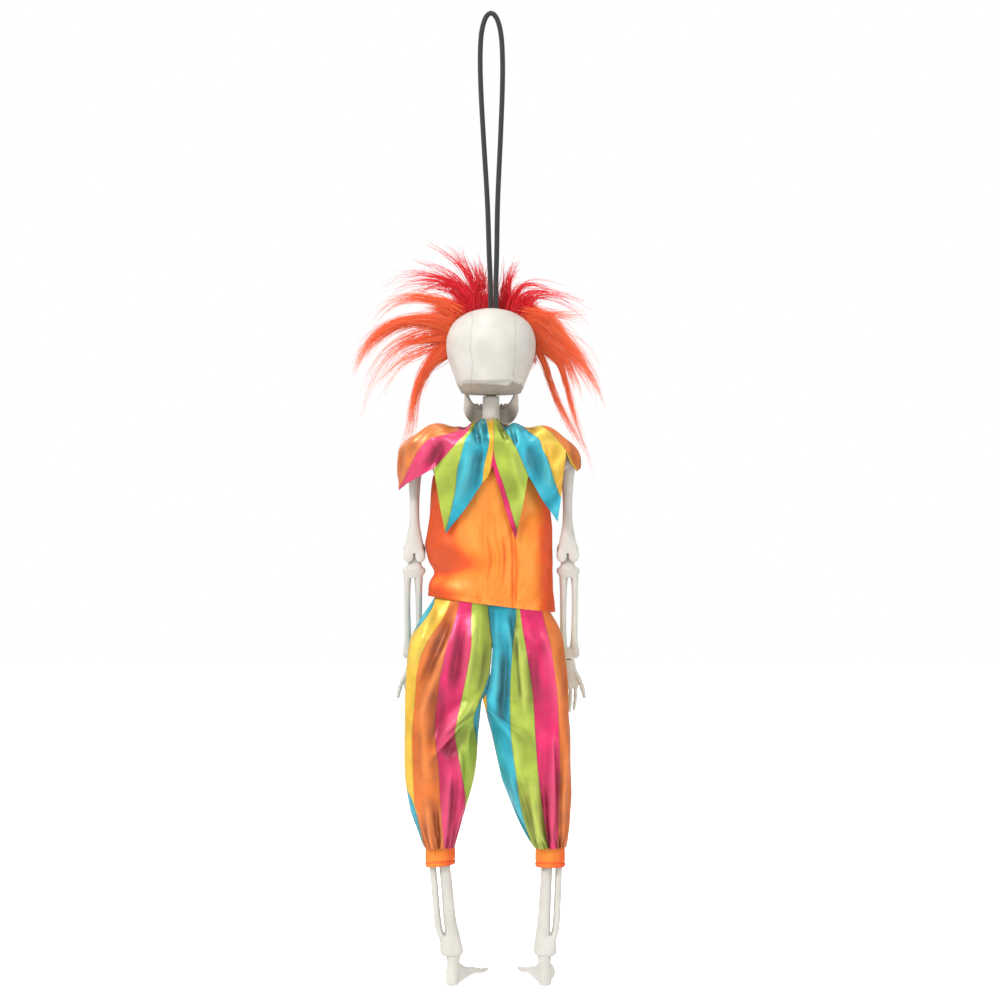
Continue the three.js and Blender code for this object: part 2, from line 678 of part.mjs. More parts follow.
// Room for a tongue between the two cheeks of a fork. It is open below and on one side in Y,
// so that the tongue can swing that way, and closed on the other, which stops it.
function tongueRoom(x, y, z, tongue, open) {
  const half = tongue.width / 2 + gap;
  const clear = tongue.radius + gap + 0.15;
  return join(
    barX(clear, x - half, x + half, y, z, 12),
    block(x - half, x + half, y, y + open * 12, z - 12, z + clear),
    block(x - half, x + half, y - open * clear, y, z - 12, z),
  );
}

// The tongue itself: a round head between the cheeks and a neck down to the next bone
function tongueOf(x, y, z, tongue, topOfBone) {
  const neck = loft(
    [
      { x, y, z: z - tongue.reach - 2, wide: topOfBone.wide, front: topOfBone.front },
      { x, y, z: z - tongue.reach, wide: topOfBone.wide * 0.86, front: topOfBone.front * 0.9 },
      { x, y, z: z - tongue.reach + 1.3, wide: tongue.width / 2, front: tongue.radius * 0.72 },
      { x, y, z, wide: tongue.width / 2, front: tongue.radius * 0.72 },
    ],
    { sides: 8, power: 3 },
  );
  const half = tongue.width / 2;
  return join(barX(tongue.radius, x - half, x + half, y, z, 12), neck);
}

function makeArm(name, side) {
  const x = side * armSpread;
  const out = (distance) => x + side * distance;
  const shoulderY = -shoulderForward;
  const elbowY = -elbowForward;
  const innerFace = armSpread - shoulderBallWidth / 2 - 1.4;
  const ballProfile = [
    [0, 0],
    [shoulderBallRadius - 1.6, 0],
    [shoulderBallRadius, 2],
    [shoulderBallRadius, shoulderBallWidth - 3.6],
    [shoulderBallRadius - 2, shoulderBallWidth - 1.4],
    [shoulderBallRadius * 0.4, shoulderBallWidth],
    [0, shoulderBallWidth],
  ];
  const shaftY = (z) => shoulderY + (elbowY - shoulderY) * ((shoulderZ - z) / upperArmLength);
  const half = elbowWidth / 2;
  const shaft = loft(
    [
      { z: elbowZ - 3.8, wide: half * 0.84, front: 3.2 },
      { z: elbowZ - 2.4, wide: half, front: elbowDepth - 0.4 },
      { z: elbowZ + 0.8, wide: half, front: elbowDepth },
      { z: elbowZ + 5, wide: half * 0.82, front: elbowDepth - 0.5 },
      { z: elbowZ + 10, wide: half * 0.6, front: 3.5 },
      { z: elbowZ + 19, wide: 3.2, front: 3 },
      { z: shoulderZ - 26, wide: 3, front: 3.1 },
      { z: shoulderZ - 14, wide: 3.7, front: 3.7 },
      { z: shoulderZ - 4, wide: 5, front: 5.2 },
    ].map((level) => ({ x, y: shaftY(level.z), ...level })),
    { sides: 10 },
  );
  const pinEnd = armSpread + shoulderBallWidth / 2 - 5 + gap;
  const humerus = cut(
    join(knobX(ballProfile, innerFace, side, shoulderY, shoulderZ), shaft),
    barX(shoulderPinRadius + gap, side * (innerFace - 1), side * pinEnd, shoulderY, shoulderZ),
    tongueRoom(x, elbowY, elbowZ, elbowTongue, -1),
    barX(elbowPinRadius + gap, x - half + 0.8, x + half - 0.8, elbowY, elbowZ),
  );
  addPart(`${name}_humerus`, humerus, plastic);
  const elbowPin = barX(elbowPinRadius, x - half + 1.1, x + half - 1.1, elbowY, elbowZ);
  addPart(`${name}_elbow_pin`, elbowPin, steel);

  // Forearm: two slender bones between a common head and a common foot
  const boneY = (z) => elbowY + (-wristForward - elbowY) * ((elbowZ - z) / forearmLength);
  const headFoot = elbowZ - elbowTongue.reach;
  const bone = (offset, radius, bulb) =>
    loft(
      [
        { z: wristZ + 0.3, wide: bulb * 0.7, front: 2 },
        { z: wristZ + 3.2, wide: bulb, front: 2.6 },
        { z: wristZ + 8, wide: radius * 1.25, front: 2.3 },
        { z: wristZ + 26, wide: radius, front: 2 },
        { z: headFoot - 8, wide: radius * 1.05, front: 2.3 },
        { z: headFoot - 1.6, wide: radius * 1.1, front: 2.8 },
      ].map((level) => ({ x: out(offset), y: boneY(level.z), ...level })),
      { sides: 6 },
    );
  const head = loft(
    [
      { z: headFoot - 6.5, wide: 5.6, front: 2.6 },
      { z: headFoot - 3, wide: 6.7, front: 3.5 },
      { z: headFoot - 1.2, wide: 6.6, front: 3.7 },
    ].map((level) => ({ x: out(0.4), y: boneY(level.z), ...level })),
    { sides: 10, power: 2.6 },
  );
  const pegX = side * (armSpread + handOffset);
  const foot = loft(
    [
      { z: wristZ, wide: 4.4, front: 2.6 },
      { z: wristZ + 5.6, wide: 4.2, front: 2.5 },
      { z: wristZ + 7.2, wide: 2.5, front: 1.8 },
    ].map((level) => ({ x: pegX, y: boneY(level.z), ...level })),
    { sides: 10, power: 2.6 },
  );
  const forearm = cut(
    join(
      tongueOf(x, elbowY, elbowZ, elbowTongue, { wide: 6.4, front: 3.5 }),
      bone(4.1, 2.1, 3),
      bone(-2.4, 2.3, 2.6),
      head,
      foot,
    ),
    barX(elbowPinRadius + gap, x - half, x + half, elbowY, elbowZ),
    barZ(wristPegRadius + gap, wristZ - 1, wristZ + wristPegHeight + gap, pegX, -wristForward),
  );
  addPart(`${name}_forearm`, forearm, plastic);

  // Hand: thumb on the outer side, palm to the front
  const y = -wristForward;
  const fingers = [-0.36, -0.13, 0.1, 0.33].map((share, i) => {
    const rootX = pegX + side * share * palmWidth;
    const reach = fingerLength - [2.5, 0.4, 0, 1][i];
    const root = wristZ - palmLength + 2;
    return strand(
      [
        [rootX, y - 1.2, root],
        [rootX - side * 0.1, y - 2.2, root - reach * 0.5],
        [rootX - side * 0.3 * i, y - 4, root - reach],
      ],
      fingerRadius, fingerRadius * 0.6, 2, 5,
    );
  });
  const thumb = strand(
    [
      [pegX + side * 2.5, y, wristZ - 6],
      [pegX + side * 7, y - 1, wristZ - 6 - thumbLength * 0.5],
      [pegX + side * 9.6, y - 2, wristZ - 6 - thumbLength],
    ],
    1.7, 1, 2, 5,
  );
  const palm = loft(
    [
      { z: wristZ - palmLength, wide: palmWidth * 0.48, front: 1.3, y: y - 1.2 },
      { z: wristZ - 12, wide: palmWidth / 2, front: 1.7, y: y - 0.6 },
      { z: wristZ - 6, wide: palmWidth * 0.4, front: 2, y },
      { z: wristZ - gap, wide: palmWidth * 0.28, front: 2, y },
    ],
    { x: pegX, sides: 8 },
  );
  const peg = barZ(wristPegRadius, wristZ - 3, wristZ + wristPegHeight, pegX, y);
  addPart(`${name}_hand`, join(palm, peg, thumb, ...fingers), plastic);
}

function makeLeg(name, { side, knee, ankle, toeIn }) {
  const [hipX, kneeX, ankleX] = [hipSpread, knee, ankle].map((distance) => side * distance);
  const hipY = hipBack;
  const innerFace = hipSpread - hipBallWidth / 2;
  const ballProfile = [
    [0, 0],
    [hipBallRadius - 0.6, 0],
    [hipBallRadius, 1],
    [hipBallRadius, hipBallWidth - 2.4],
    [hipBallRadius - 2, hipBallWidth],
    [0, hipBallWidth],
  ];
  const half = kneeWidth / 2;
  const thighX = (down) => hipX + (kneeX - hipX) * Math.min(1, down / (thighLength - 8));
  const shaft = loft(
    [
      { down: thighLength + 4.4, wide: half * 0.84, front: 3.8 },
      { down: thighLength + 2.6, wide: half, front: kneeDepth - 0.4 },
      { down: thighLength - 1, wide: half, front: kneeDepth },
      { down: thighLength - 6, wide: half * 0.84, front: kneeDepth - 0.5 },
      { down: thighLength - 13, wide: half * 0.6, front: 4 },
      { down: thighLength - 26, wide: 3.3, front: 3.5 },
      { down: 30, wide: 3.4, front: 3.5 },
      { down: 12, wide: 4, front: 4 },
      { down: 2, wide: 3.9, front: 4.6 },
    ].map(({ down, ...level }) => ({
      x: thighX(down),
      y: hipY * (1 - Math.min(1, down / thighLength)),
      z: hipZ - down,
      ...level,
    })),
    { sides: 10 },
  );
  const femur = cut(
    join(knobX(ballProfile, innerFace, side, hipY, hipZ), shaft),
    barX(hipPinRadius + gap, side * (innerFace - 1), side * (hipSpread + 2.8), hipY, hipZ),
    tongueRoom(kneeX, 0, kneeZ, kneeTongue, 1),
    barX(kneePinRadius + gap, kneeX - half + 0.8, kneeX + half - 0.8, 0, kneeZ),
  );
  addPart(`${name}_femur`, femur, plastic);
  const kneePin = barX(kneePinRadius, kneeX - half + 1.1, kneeX + half - 1.1, 0, kneeZ);
  addPart(`${name}_knee_pin`, kneePin, steel);

  // Shin: tibia on the inner side, fibula on the outer, joined at the knee and the ankle
  const headFoot = kneeTongue.reach;
  const middleX = (down) =>
    kneeX + (ankleX - kneeX) * (down / shinLength) + side * shinBow * Math.sin((Math.PI * down) / shinLength);
  const shinY = (down) => (ankleBack * down) / shinLength;
  const placed = (offset) => ({ down, shift = 0, ...level }) => ({
    x: middleX(down) + side * (offset + shift),
    y: shinY(down),
    z: kneeZ - down,
    ...level,
  });
  const tibia = loft(
    [
      { down: shinLength - 2, shift: 1.4, wide: 5, front: 4 },
      { down: shinLength - 9, shift: 0.9, wide: 4.8, front: 3.6 },
      { down: shinLength - 20, wide: 3.7, front: 3.3 },
      { down: 50, wide: 3.2, front: 3.1 },
      { down: 22, wide: 3.4, front: 3.3 },
      { down: headFoot + 2, shift: 0.6, wide: 4, front: 4 },
    ].map(placed(-2.7)),
    { sides: 8 },
  );
  const fibula = loft(
    [
      { down: shinLength - 3, shift: -0.8, wide: 2.6, front: 2.6 },
      { down: shinLength - 18, shift: -0.3, wide: 1.9, front: 2 },
      { down: 50, wide: 1.7, front: 1.8 },
      { down: headFoot + 3, shift: -0.6, wide: 2, front: 2.2 },
    ].map(placed(3.9)),
    { sides: 6 },
  );
  const head = loft(
    [
      { down: headFoot + 8, wide: 5.6, front: 3.4 },
      { down: headFoot + 3.4, wide: 6.6, front: 4.2 },
      { down: headFoot + 1.2, wide: 6.4, front: 4.2 },
    ].map(placed(0)),
    { sides: 10, power: 2.6 },
  );
  const foot = loft(
    [
      { down: shinLength, wide: 5.8, front: 4.2 },
      { down: shinLength - 2.4, wide: 6.9, front: 4.8 },
      { down: shinLength - 10, wide: 5.8, front: 4 },
      { down: shinLength - 15, wide: 4.9, front: 3 },
    ].map(placed(0)),
    { sides: 10, power: 2.4 },
  );
  const pegTop = ankleZ + anklePegHeight;
  const shin = cut(
    join(
      tongueOf(kneeX, 0, kneeZ, kneeTongue, { wide: 6.2, front: 4 }),
      tibia, fibula, head, foot,
    ),
    barX(kneePinRadius + gap, kneeX - half, kneeX + half, 0, kneeZ),
    barZ(anklePegRadius + gap, ankleZ - 1, pegTop + gap, ankleX, ankleBack),
  );
  addPart(`${name}_shin`, shin, plastic);
  makeFoot(name, side, ankleX, toeIn);
}

// The foot is modelled with its toes to the front, then turned in about the ankle
function makeFoot(name, side, ankleX, toeIn) {
  const column = loft(
    [
      { z: -footHeight, wide: heelRadius * 0.62, front: heelRadius * 0.7, y: 0.6 },
      { z: -footHeight + 1.4, wide: heelRadius * 0.95, front: heelRadius, y: 0.6 },
      { z: -3, wide: heelRadius * 0.97, front: heelRadius * 0.97 },
      { z: -gap, wide: heelRadius * 0.9, front: heelRadius * 0.9 },
    ],
    { sides: 10 },
  );
  // Upright ovals from the heel to the ball of the foot, high at the instep and thin ahead
  const ballLine = footLength - 10;
  const instep = skin(
    [
      { along: -1, wide: 3.4, high: 15 },
      { along: 4, wide: 3.7, high: 11.5 },
      { along: 9, wide: 4.3, high: 7.6 },
      { along: 16, wide: 5.2, high: 4.6 },
      { along: ballLine, wide: 6, high: 3 },
      { along: ballLine + 1.5, wide: 5.6, high: 2.2 },
    ].map(({ along, wide, high }) =>
      oval({ z: 0, wide, front: high / 2, sides: 10, power: 2.6 }).map(
        ({ x, y }) => new THREE.Vector3(x, -along, -footHeight + high / 2 + 0.3 + y),
      ),
    ),
  );
  const toes = [0, 1, 2, 3, 4].map((i) => {
    const x = side * (-4.6 + i * 2.3);
    const reach = footLength - [0, 0.8, 1.8, 3, 4.4][i];
    const root = ballLine - 1;
    return strand(
      [
        [x, -root, -footHeight + 1.7],
        [x * 1.05, -(root + reach) / 2, -footHeight + 1.8],
        [x * 1.02, -reach, -footHeight + 1.1],
      ],
      i === 0 ? 1.4 : 1.05, 0.8, 1, 5,
    );
  });
  const peg = barZ(anklePegRadius, -3, anklePegHeight, 0, 0);
  const foot = geometryOf(join(column, instep, peg, ...toes));
  foot.rotateZ(THREE.MathUtils.degToRad(-side * toeIn));
  addPart(`${name}_foot`, foot.translate(ankleX, ankleBack, ankleZ), plastic);
}

// Shirt levels down from the neck, as shares of its length, its half width and its half depth
const shirtLength = trunkLength * 0.92;
const shirtHalfWidth = 37.4;
const shirtHalfDepth = 21.8;
const shirtTopZ = neckFootZ - gap;
const shirtLevels = [
  { share: 0, middle: 0, wide: 0.334, front: 0.413, back: 0.459 },
  { share: 0.0205, middle: 0, wide: 0.615, front: 0.619, back: 0.642 },
  { share: 0.0718, middle: -0.2, wide: 0.829, front: 0.78, back: 0.807 },
  { share: 0.2051, middle: -0.2, wide: 0.909, front: 0.881, back: 0.89 },
  { share: 0.4512, middle: 0.5, wide: 0.9465, front: 0.899, back: 0.9174 },
  { share: 0.6973, middle: 0.8, wide: 0.984, front: 0.9266, back: 0.945 },
  { share: 0.8614, middle: 0, wide: 0.968, front: 0.945, back: 0.9633 },
  { share: 1, middle: -0.2, wide: 1, front: 0.9725, back: 1 },
];

function shirtForm(inset, sides) {
  return shirtLevels.map(({ share, middle, wide, front, back }) => {
    const lower = share ** 3;
    return {
      x: middle,
      z: shirtTopZ - shirtLength * share,
      wide: shirtHalfWidth * wide - inset,
      front: shirtHalfDepth * front - inset,
      back: shirtHalfDepth * back - inset,
      slope: hemSlope * lower,
      waves: 8,
      depth: 0.012 * lower,
      sides,
    };
  });
}

function makeShirt() {
  const sides = 28;
  const tube = clothTube(shirtForm(0, sides));
  const armholes = [1, -1].map((s) =>
    barX(armholeRadius, s * (armSpread - 20), s * armSpread, -shoulderForward, shoulderZ, 14),
  );
  addPart('shirt', cut(tube, ...armholes), orangeSatin);

  // The closure tape lies flat against the inside of the back
  const seat = clothThickness + gap;
  const tapeThickness = 0.9;
  const outer = skin(shirtForm(seat, sides).map(oval));
  const inner = skin(shirtForm(seat + tapeThickness, sides).map(oval));
  const strip = block(
    tape.right, tape.left,
    0, shirtHalfDepth * 2,
    shirtTopZ - shirtLength + tape.overHem, shirtTopZ - tape.underNeck,
  );
  addPart('shirt_closure_tape', common(cut(outer, inner), strip), whiteElastic);
}

// Points and hollows of the collar's edge, round the body from the left shoulder over the back.
// A turn is an angle from the left side, and a drop is how far under the shoulder axis it hangs.
const collarEdge = [
  { turn: -20, drop: 0 },
  { turn: 8, drop: 17.7 },
  { turn: 42, drop: 2 },
  { turn: 66, drop: 44.8 },
  { turn: 90, drop: 5 },
  { turn: 102, drop: 46.5 },
  { turn: 117, drop: 10 },
  { turn: 135, drop: 36 },
  { turn: 155, drop: 0 },
  { turn: 172, drop: 8 },
  { turn: 200, drop: 0 },
  { turn: 228, drop: 36 },
  { turn: 250, drop: 4 },
  { turn: 270, drop: 42 },
  { turn: 290, drop: 4 },
  { turn: 315, drop: 38 },
];
const collarNeckRadius = neckRadius + 0.7;
const collarReach = { left: 54, right: 52.8, front: 23, back: 23 };
const collarTopZ = neckFootZ + 9.8;
const collarTilt = 5; // the neck edge is this much lower at the front
const collarRoll = { left: 16, right: 21, body: 13 }; // how far the shoulder curve falls
const collarThickness = 0.8;

function makeCollar() {
  const arcSteps = 4;
  const dropSteps = 2;
  const stepsPerEdge = 2;
  const spokes = collarEdge.flatMap((a, i) => {
    const b = collarEdge[i + 1] ?? { ...collarEdge[0], turn: collarEdge[0].turn + 360 };
    return Array.from({ length: stepsPerEdge }, (_, j) => ({
      turn: a.turn + ((b.turn - a.turn) * j) / stepsPerEdge,
      edge: shoulderZ - a.drop - ((b.drop - a.drop) * j) / stepsPerEdge,
    }));
  });
  const shaped = (v) => Math.sign(v) * Math.abs(v) ** 0.72;
  const sheet = (lift) =>
    Array.from({ length: arcSteps + dropSteps + 1 }, (_, row) =>
      spokes.map(({ turn, edge }) => {
        const t = THREE.MathUtils.degToRad(turn);
        const [c, s] = [shaped(Math.cos(t)), shaped(Math.sin(t))];
        const reachX = c > 0 ? collarReach.left : collarReach.right;
        const reachY = s > 0 ? collarReach.back : collarReach.front;
        const shoulderRoll = c > 0 ? collarRoll.left : collarRoll.right;
        const roll = collarRoll.body + (shoulderRoll - collarRoll.body) * c * c;
        const bend = (Math.min(1, row / arcSteps) * Math.PI) / 2;
        const out = Math.sin(bend);
        const spread = (reach) => collarNeckRadius + (reach - collarNeckRadius) * out - lift * out;
        const neckZ = collarTopZ - (collarTilt * (1 - s)) / 2;
        const rolled = neckZ - roll * (1 - Math.cos(bend)) - lift * Math.cos(bend);
        const share = Math.max(0, (row - arcSteps) / dropSteps);
        return new THREE.Vector3(
          spread(reachX) * c,
          spread(reachY) * s,
          rolled + (edge - rolled) * share,
        );
      }),
    );
  const rows = [...sheet(0), ...sheet(collarThickness).reverse()];
  addPart('collar', skin(rows, true), stripedSatin);
}

// Trousers seat, from the waist down to where the legs part
const seatLevels = [
  { down: -waistRise, left: 33.2, right: 32.6, front: 18.4, back: 16.8, sweep: 0, depth: 0.008 },
  { down: -waistRise + 8, left: 34.6, right: 33.6, front: 18.8, back: 17, sweep: 0, depth: 0.008 },
  { down: -waistRise / 2, left: 39.4, right: 37.6, front: 19.5, back: 19.4, sweep: 4, depth: 0.03 },
  { down: -waistRise / 10, left: 46, right: 41.8, front: 19, back: 21, sweep: 7, depth: 0.03 },
  { down: crotchDrop * 0.4, left: 49.2, right: 43.4, front: 17, back: 21, sweep: 9, depth: 0.03 },
  { down: crotchDrop - gap, left: 50.3, right: 45, front: 15, back: 18, sweep: 9, depth: 0.03 },
];

function makeTrousers() {
  const sides = 28;
  const seat = seatLevels.map(({ down, left, right, front, back, sweep, depth }) => ({
    x: (left - right) / 2,
    y: trouserBack,
    z: hipZ - down,
    wide: (left + right) / 2,
    front,
    back,
    sweepLeft: sweep,
    sweepRight: sweep,
    waves: 8,
    depth,
    phase: down / 25,
  }));
  addPart('trousers_seat', clothTube(seat, { sides }), stripedSatin);

  const bandHeight = 5;
  const inset = clothThickness + gap + 0.4;
  const [waist] = seat;
  const band = { ...waist, wide: waist.wide - inset, front: waist.front - inset, back: waist.back - inset };
  const elastic = clothTube(
    [waistZ - 0.6, waistZ - 0.6 - bandHeight].map((z) => ({ ...band, z, depth: 0 })),
    { sides: 24 },
    elasticThickness,
  );
  addPart('waist_elastic', elastic, whiteElastic);

  // Each leg's cloth is parted just above the knee
  const split = thighLength - 4.6;
  const foot = thighLength + cuffTopDown - gap;
  for (const [name, leg] of Object.entries(legs)) {
    const folded = (downs, depth) =>
      downs.map((down) => {
        const at = (key) => levelAt(leg.trousers, (down - crotchDrop) / (foot - crotchDrop), key);
        const sweep = at('sweep');
        return {
          x: (leg.side * (at('inner') + at('outer'))) / 2,
          y: trouserBack,
          z: hipZ - down,
          wide: (at('outer') - at('inner')) / 2,
          front: at('front'),
          back: at('back'),
          sweepLeft: leg.side > 0 ? sweep : 0,
          sweepRight: leg.side > 0 ? 0 : sweep,
          waves: 8,
          depth,
          phase: leg.side * (down / 22),
        };
      });
    const upper = [0, 0.35, 0.7, 1].map((share) => crotchDrop + (split - crotchDrop) * share);
    const lower = [0, 0.3, 0.55, 0.8, 1].map((share) => split + gap + (foot - split - gap) * share);
    addPart(`${name}_trouser_upper`, clothTube(folded(upper, 0.035), { sides }), stripedSatin);
    addPart(`${name}_trouser_lower`, clothTube(folded(lower, 0.05), { sides }), stripedSatin);

    const cuffX = leg.side * leg.cuff;
    const cuffTop = kneeZ - cuffTopDown;
    const pleated = { x: cuffX, y: 0.9, sides: 28, waves: 14, depth: 0.012 };
    const cuff = [0, 1].map((share) => ({ z: cuffTop - cuffHeight * share, wide: 8.7, front: 7.4 }));
    addPart(`${name}_cuff`, clothTube(cuff, pleated, 0.9), orangeSatin);
    const elasticLevels = [3, 8.4].map((down) => ({ z: cuffTop - down, wide: 7.35, front: 6.05 }));
    const elastic = clothTube(elasticLevels, { x: cuffX, y: 0.9, sides: 16 }, elasticThickness);
    addPart(`${name}_cuff_elastic`, elastic, whiteElastic);
  }
}

makeSkull();
makeJaw();
makeLoop();
makeAllHair();
makeNeck();
makeTrunk();
makePelvis();
makeArm('left', 1);
makeArm('right', -1);
for (const [name, leg] of Object.entries(legs)) makeLeg(name, leg);
makeShirt();
makeCollar();
makeTrousers();

export default doll;
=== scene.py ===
"""A hanging skeleton doll in a clown's satin clothes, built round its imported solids."""

import math

import bpy
import numpy as np
from bpy.props import FloatProperty, FloatVectorProperty, PointerProperty
from bpy.types import Operator, Panel, PropertyGroup
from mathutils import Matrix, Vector


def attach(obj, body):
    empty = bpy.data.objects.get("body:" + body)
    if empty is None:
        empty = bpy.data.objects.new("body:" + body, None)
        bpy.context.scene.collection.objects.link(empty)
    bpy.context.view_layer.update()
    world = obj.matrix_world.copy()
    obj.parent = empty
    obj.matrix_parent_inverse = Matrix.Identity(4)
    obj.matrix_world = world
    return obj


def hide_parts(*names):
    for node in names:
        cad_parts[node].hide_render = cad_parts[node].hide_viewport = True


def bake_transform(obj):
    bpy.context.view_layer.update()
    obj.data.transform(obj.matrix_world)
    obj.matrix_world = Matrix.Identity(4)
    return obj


bl_info = {
    "name": "Hanging skeleton doll",
    "version": (1, 0, 0),
    "blender": (4, 5, 0),
    "location": "View3D > Sidebar > Doll",
    "description": "Builds a dressed skeleton doll on a cord loop, piece by piece",
    "category": "Add Mesh",
}

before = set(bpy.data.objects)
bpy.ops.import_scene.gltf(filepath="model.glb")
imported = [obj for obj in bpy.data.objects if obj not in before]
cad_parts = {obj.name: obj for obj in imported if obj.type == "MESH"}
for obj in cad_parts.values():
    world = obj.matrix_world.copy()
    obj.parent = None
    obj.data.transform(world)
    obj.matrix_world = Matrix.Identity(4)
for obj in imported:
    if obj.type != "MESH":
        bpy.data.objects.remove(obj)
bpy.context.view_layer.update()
SEED = 7

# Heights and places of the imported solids, in millimetres, the doll facing -Y
PHOTO_SCALE = 0.59  # millimetres to a pixel of the photograph
CROWN, SKULL_BASE, NECK_FOOT = -172.9, -223.6, -249.0
SHOULDER, ELBOW, WRIST = -262.0, -317.5, -379.8
HIP, KNEE, ANKLE = -368.0, -460.0, -554.4
ARM_X, HAND_X, HIP_X = 45.2, 46.0, 17.0
KNEE_X = {"left": 34.5, "right": -37.5}
ANKLE_X = {"left": 22.3, "right": -31.5}
TOE_IN = {"left": 36.0, "right": 23.0}
CUFF_X = {"left": 29.9, "right": -34.9}
SIDES = {"left": 1.0, "right": -1.0}


def seen(px, py):
    """The X and Z in millimetres of a pixel of the photograph, on the plane of the cord."""
    return (491.0 - np.asarray(px, float)) * PHOTO_SCALE, (16.0 - np.asarray(py, float)) * PHOTO_SCALE


# Numbers and curves


def through(table, count, share=None):
    """A smooth run of rows through a table's rows: each column is a cubic between two rows,
    and its slope at a row is half the step from the row before to the row after."""
    table = np.asarray(table, float)
    last = len(table) - 1
    t = np.linspace(0, last, count) if share is None else np.asarray(share) * last
    i = np.clip(t.astype(int), 0, last - 1)
    f = (t - i)[:, None]
    slope = np.gradient(table, axis=0)
    a, b, da, db = table[i], table[i + 1], slope[i], slope[i + 1]
    return (
        a * (2 * f**3 - 3 * f**2 + 1)
        + b * (3 * f**2 - 2 * f**3)
        + da * (f**3 - 2 * f**2 + f)
        + db * (f**3 - f**2)
    )


def ease(v, low, high):
    """0 below low, 1 above high, and a smooth step between them."""
    t = np.clip((v - low) / (high - low), 0, 1)
    return t * t * (3 - 2 * t)


def bump(d):
    """1 at the middle, falling as a bell to almost nothing at a distance of 1."""
    return np.exp(-((d * 1.6) ** 2))


def unit(v):
    """Vectors at the same heading, each made one long."""
    return v / np.maximum(np.linalg.norm(v, axis=-1, keepdims=True), 1e-9)


def stacked(*parts):
    """Points of a grid from their X, Y and Z, each stretched to the same rows and columns."""
    return np.stack(np.broadcast_arrays(*parts), -1)


def around(count):
    """So many even turns once round a circle, as a row."""
    return np.linspace(0, 2 * np.pi, count, endpoint=False)[None]


def spun(angle):
    """The matrix that turns rows of points about the Z axis by an angle."""
    c, s = math.cos(angle), math.sin(angle)
    return np.array([[c, s, 0], [-s, c, 0], [0, 0, 1]])


def squared(v, power):
    """A sine or cosine pushed outwards, so that a circle turns into a squarer oval."""
    return np.sign(v) * np.abs(v) ** (2 / power)


# Surfaces


def grid_faces(rows, cols, wrap=False, offset=0):
    """Quads of a grid of points, row by row. A wrapped grid joins its last column to its first."""
    r = np.arange(rows - 1)[:, None]
    c = np.arange(cols if wrap else cols - 1)[None]
    n = (c + 1) % cols
    quads = np.stack([r * cols + c, r * cols + n, (r + 1) * cols + n, (r + 1) * cols + c], -1)
    return quads.reshape(-1, 4) + offset


def closed_skin(rings):
    """Points and faces of a closed solid over rings: quads along it and a fan at each end."""
    rows, cols = rings.shape[:2]
    points = np.concatenate([rings.reshape(-1, 3), rings[0].mean(0)[None], rings[-1].mean(0)[None]])
    quads = grid_faces(rows, cols, wrap=True)
    j = np.arange(cols)
    k = (j + 1) % cols
    first, last = rows * cols, rows * cols + 1
    end = (rows - 1) * cols
    fans = np.concatenate([stacked(k, j, first), stacked(end + j, end + k, last)])
    return outward(points, quads, fans)


def outward(points, quads, fans):
    """The same closed solid with its faces turned outwards: its volume is made positive."""
    tris = np.concatenate([quads[:, [0, 1, 2]], quads[:, [0, 2, 3]], fans])
    a, b, c = (points[tris[:, i]] for i in range(3))
    if (a * np.cross(b, c)).sum() < 0:
        quads, fans = quads[:, ::-1], fans[:, ::-1]
    return points, quads, fans


def ovals(table, count=40, sides=32, power=2.0):
    """Level ovals up a bone. A table row is height, middle X and Y, half width, depth to the front
    and, where it differs, depth to the back. The rows between follow a smooth curve."""
    rows = [row if len(row) == 6 else (*row, row[-1]) for row in table]
    z, x, y, wide, front, back = through(rows, count).T[:, :, None]
    turn = around(sides)
    c, s = squared(np.cos(turn), power), squared(np.sin(turn), power)
    return stacked(x + wide * c, y + np.where(s > 0, back, front) * s, z)


def tube(path, wide, deep=None, sides=12, reference=(0, 1, 0)):
    """Rings along a path, each square to it. Wide is the half size across the reference
    direction, and deep is the half size along it."""
    path = np.asarray(path, float)
    wide = np.broadcast_to(wide, len(path))[:, None, None]
    deep = wide if deep is None else np.broadcast_to(deep, len(path))[:, None, None]
    along = unit(np.gradient(path, axis=0))
    across = unit(np.cross(along, np.asarray(reference, float)))
    up = np.cross(across, along)
    turn = around(sides)[..., None]
    return path[:, None] + wide * np.cos(turn) * across[:, None] + deep * np.sin(turn) * up[:, None]


def egg(middle, radii, rows=20, cols=28):
    """Rings of an egg about a middle: sines and cosines of two angles times its three radii."""
    down = np.linspace(0.02, np.pi - 0.02, rows)[:, None]
    turn = around(cols)
    ball = stacked(np.sin(down) * np.cos(turn), np.sin(down) * np.sin(turn), np.cos(down))
    return ball * np.asarray(radii, float) + np.asarray(middle, float)


def turned(profile, axis="z", middle=(0, 0, 0), count=40, sides=40):
    """A lathe form: a smooth profile of radius against height, turned about its axis."""
    radius, height = through(profile, count).T[:, :, None]
    turn = around(sides)
    a, b = np.maximum(radius, 0.01) * np.cos(turn), radius * np.sin(turn)
    rings = stacked(a, b, height) if axis == "z" else stacked(height, a, b)
    return rings + np.asarray(middle, float)


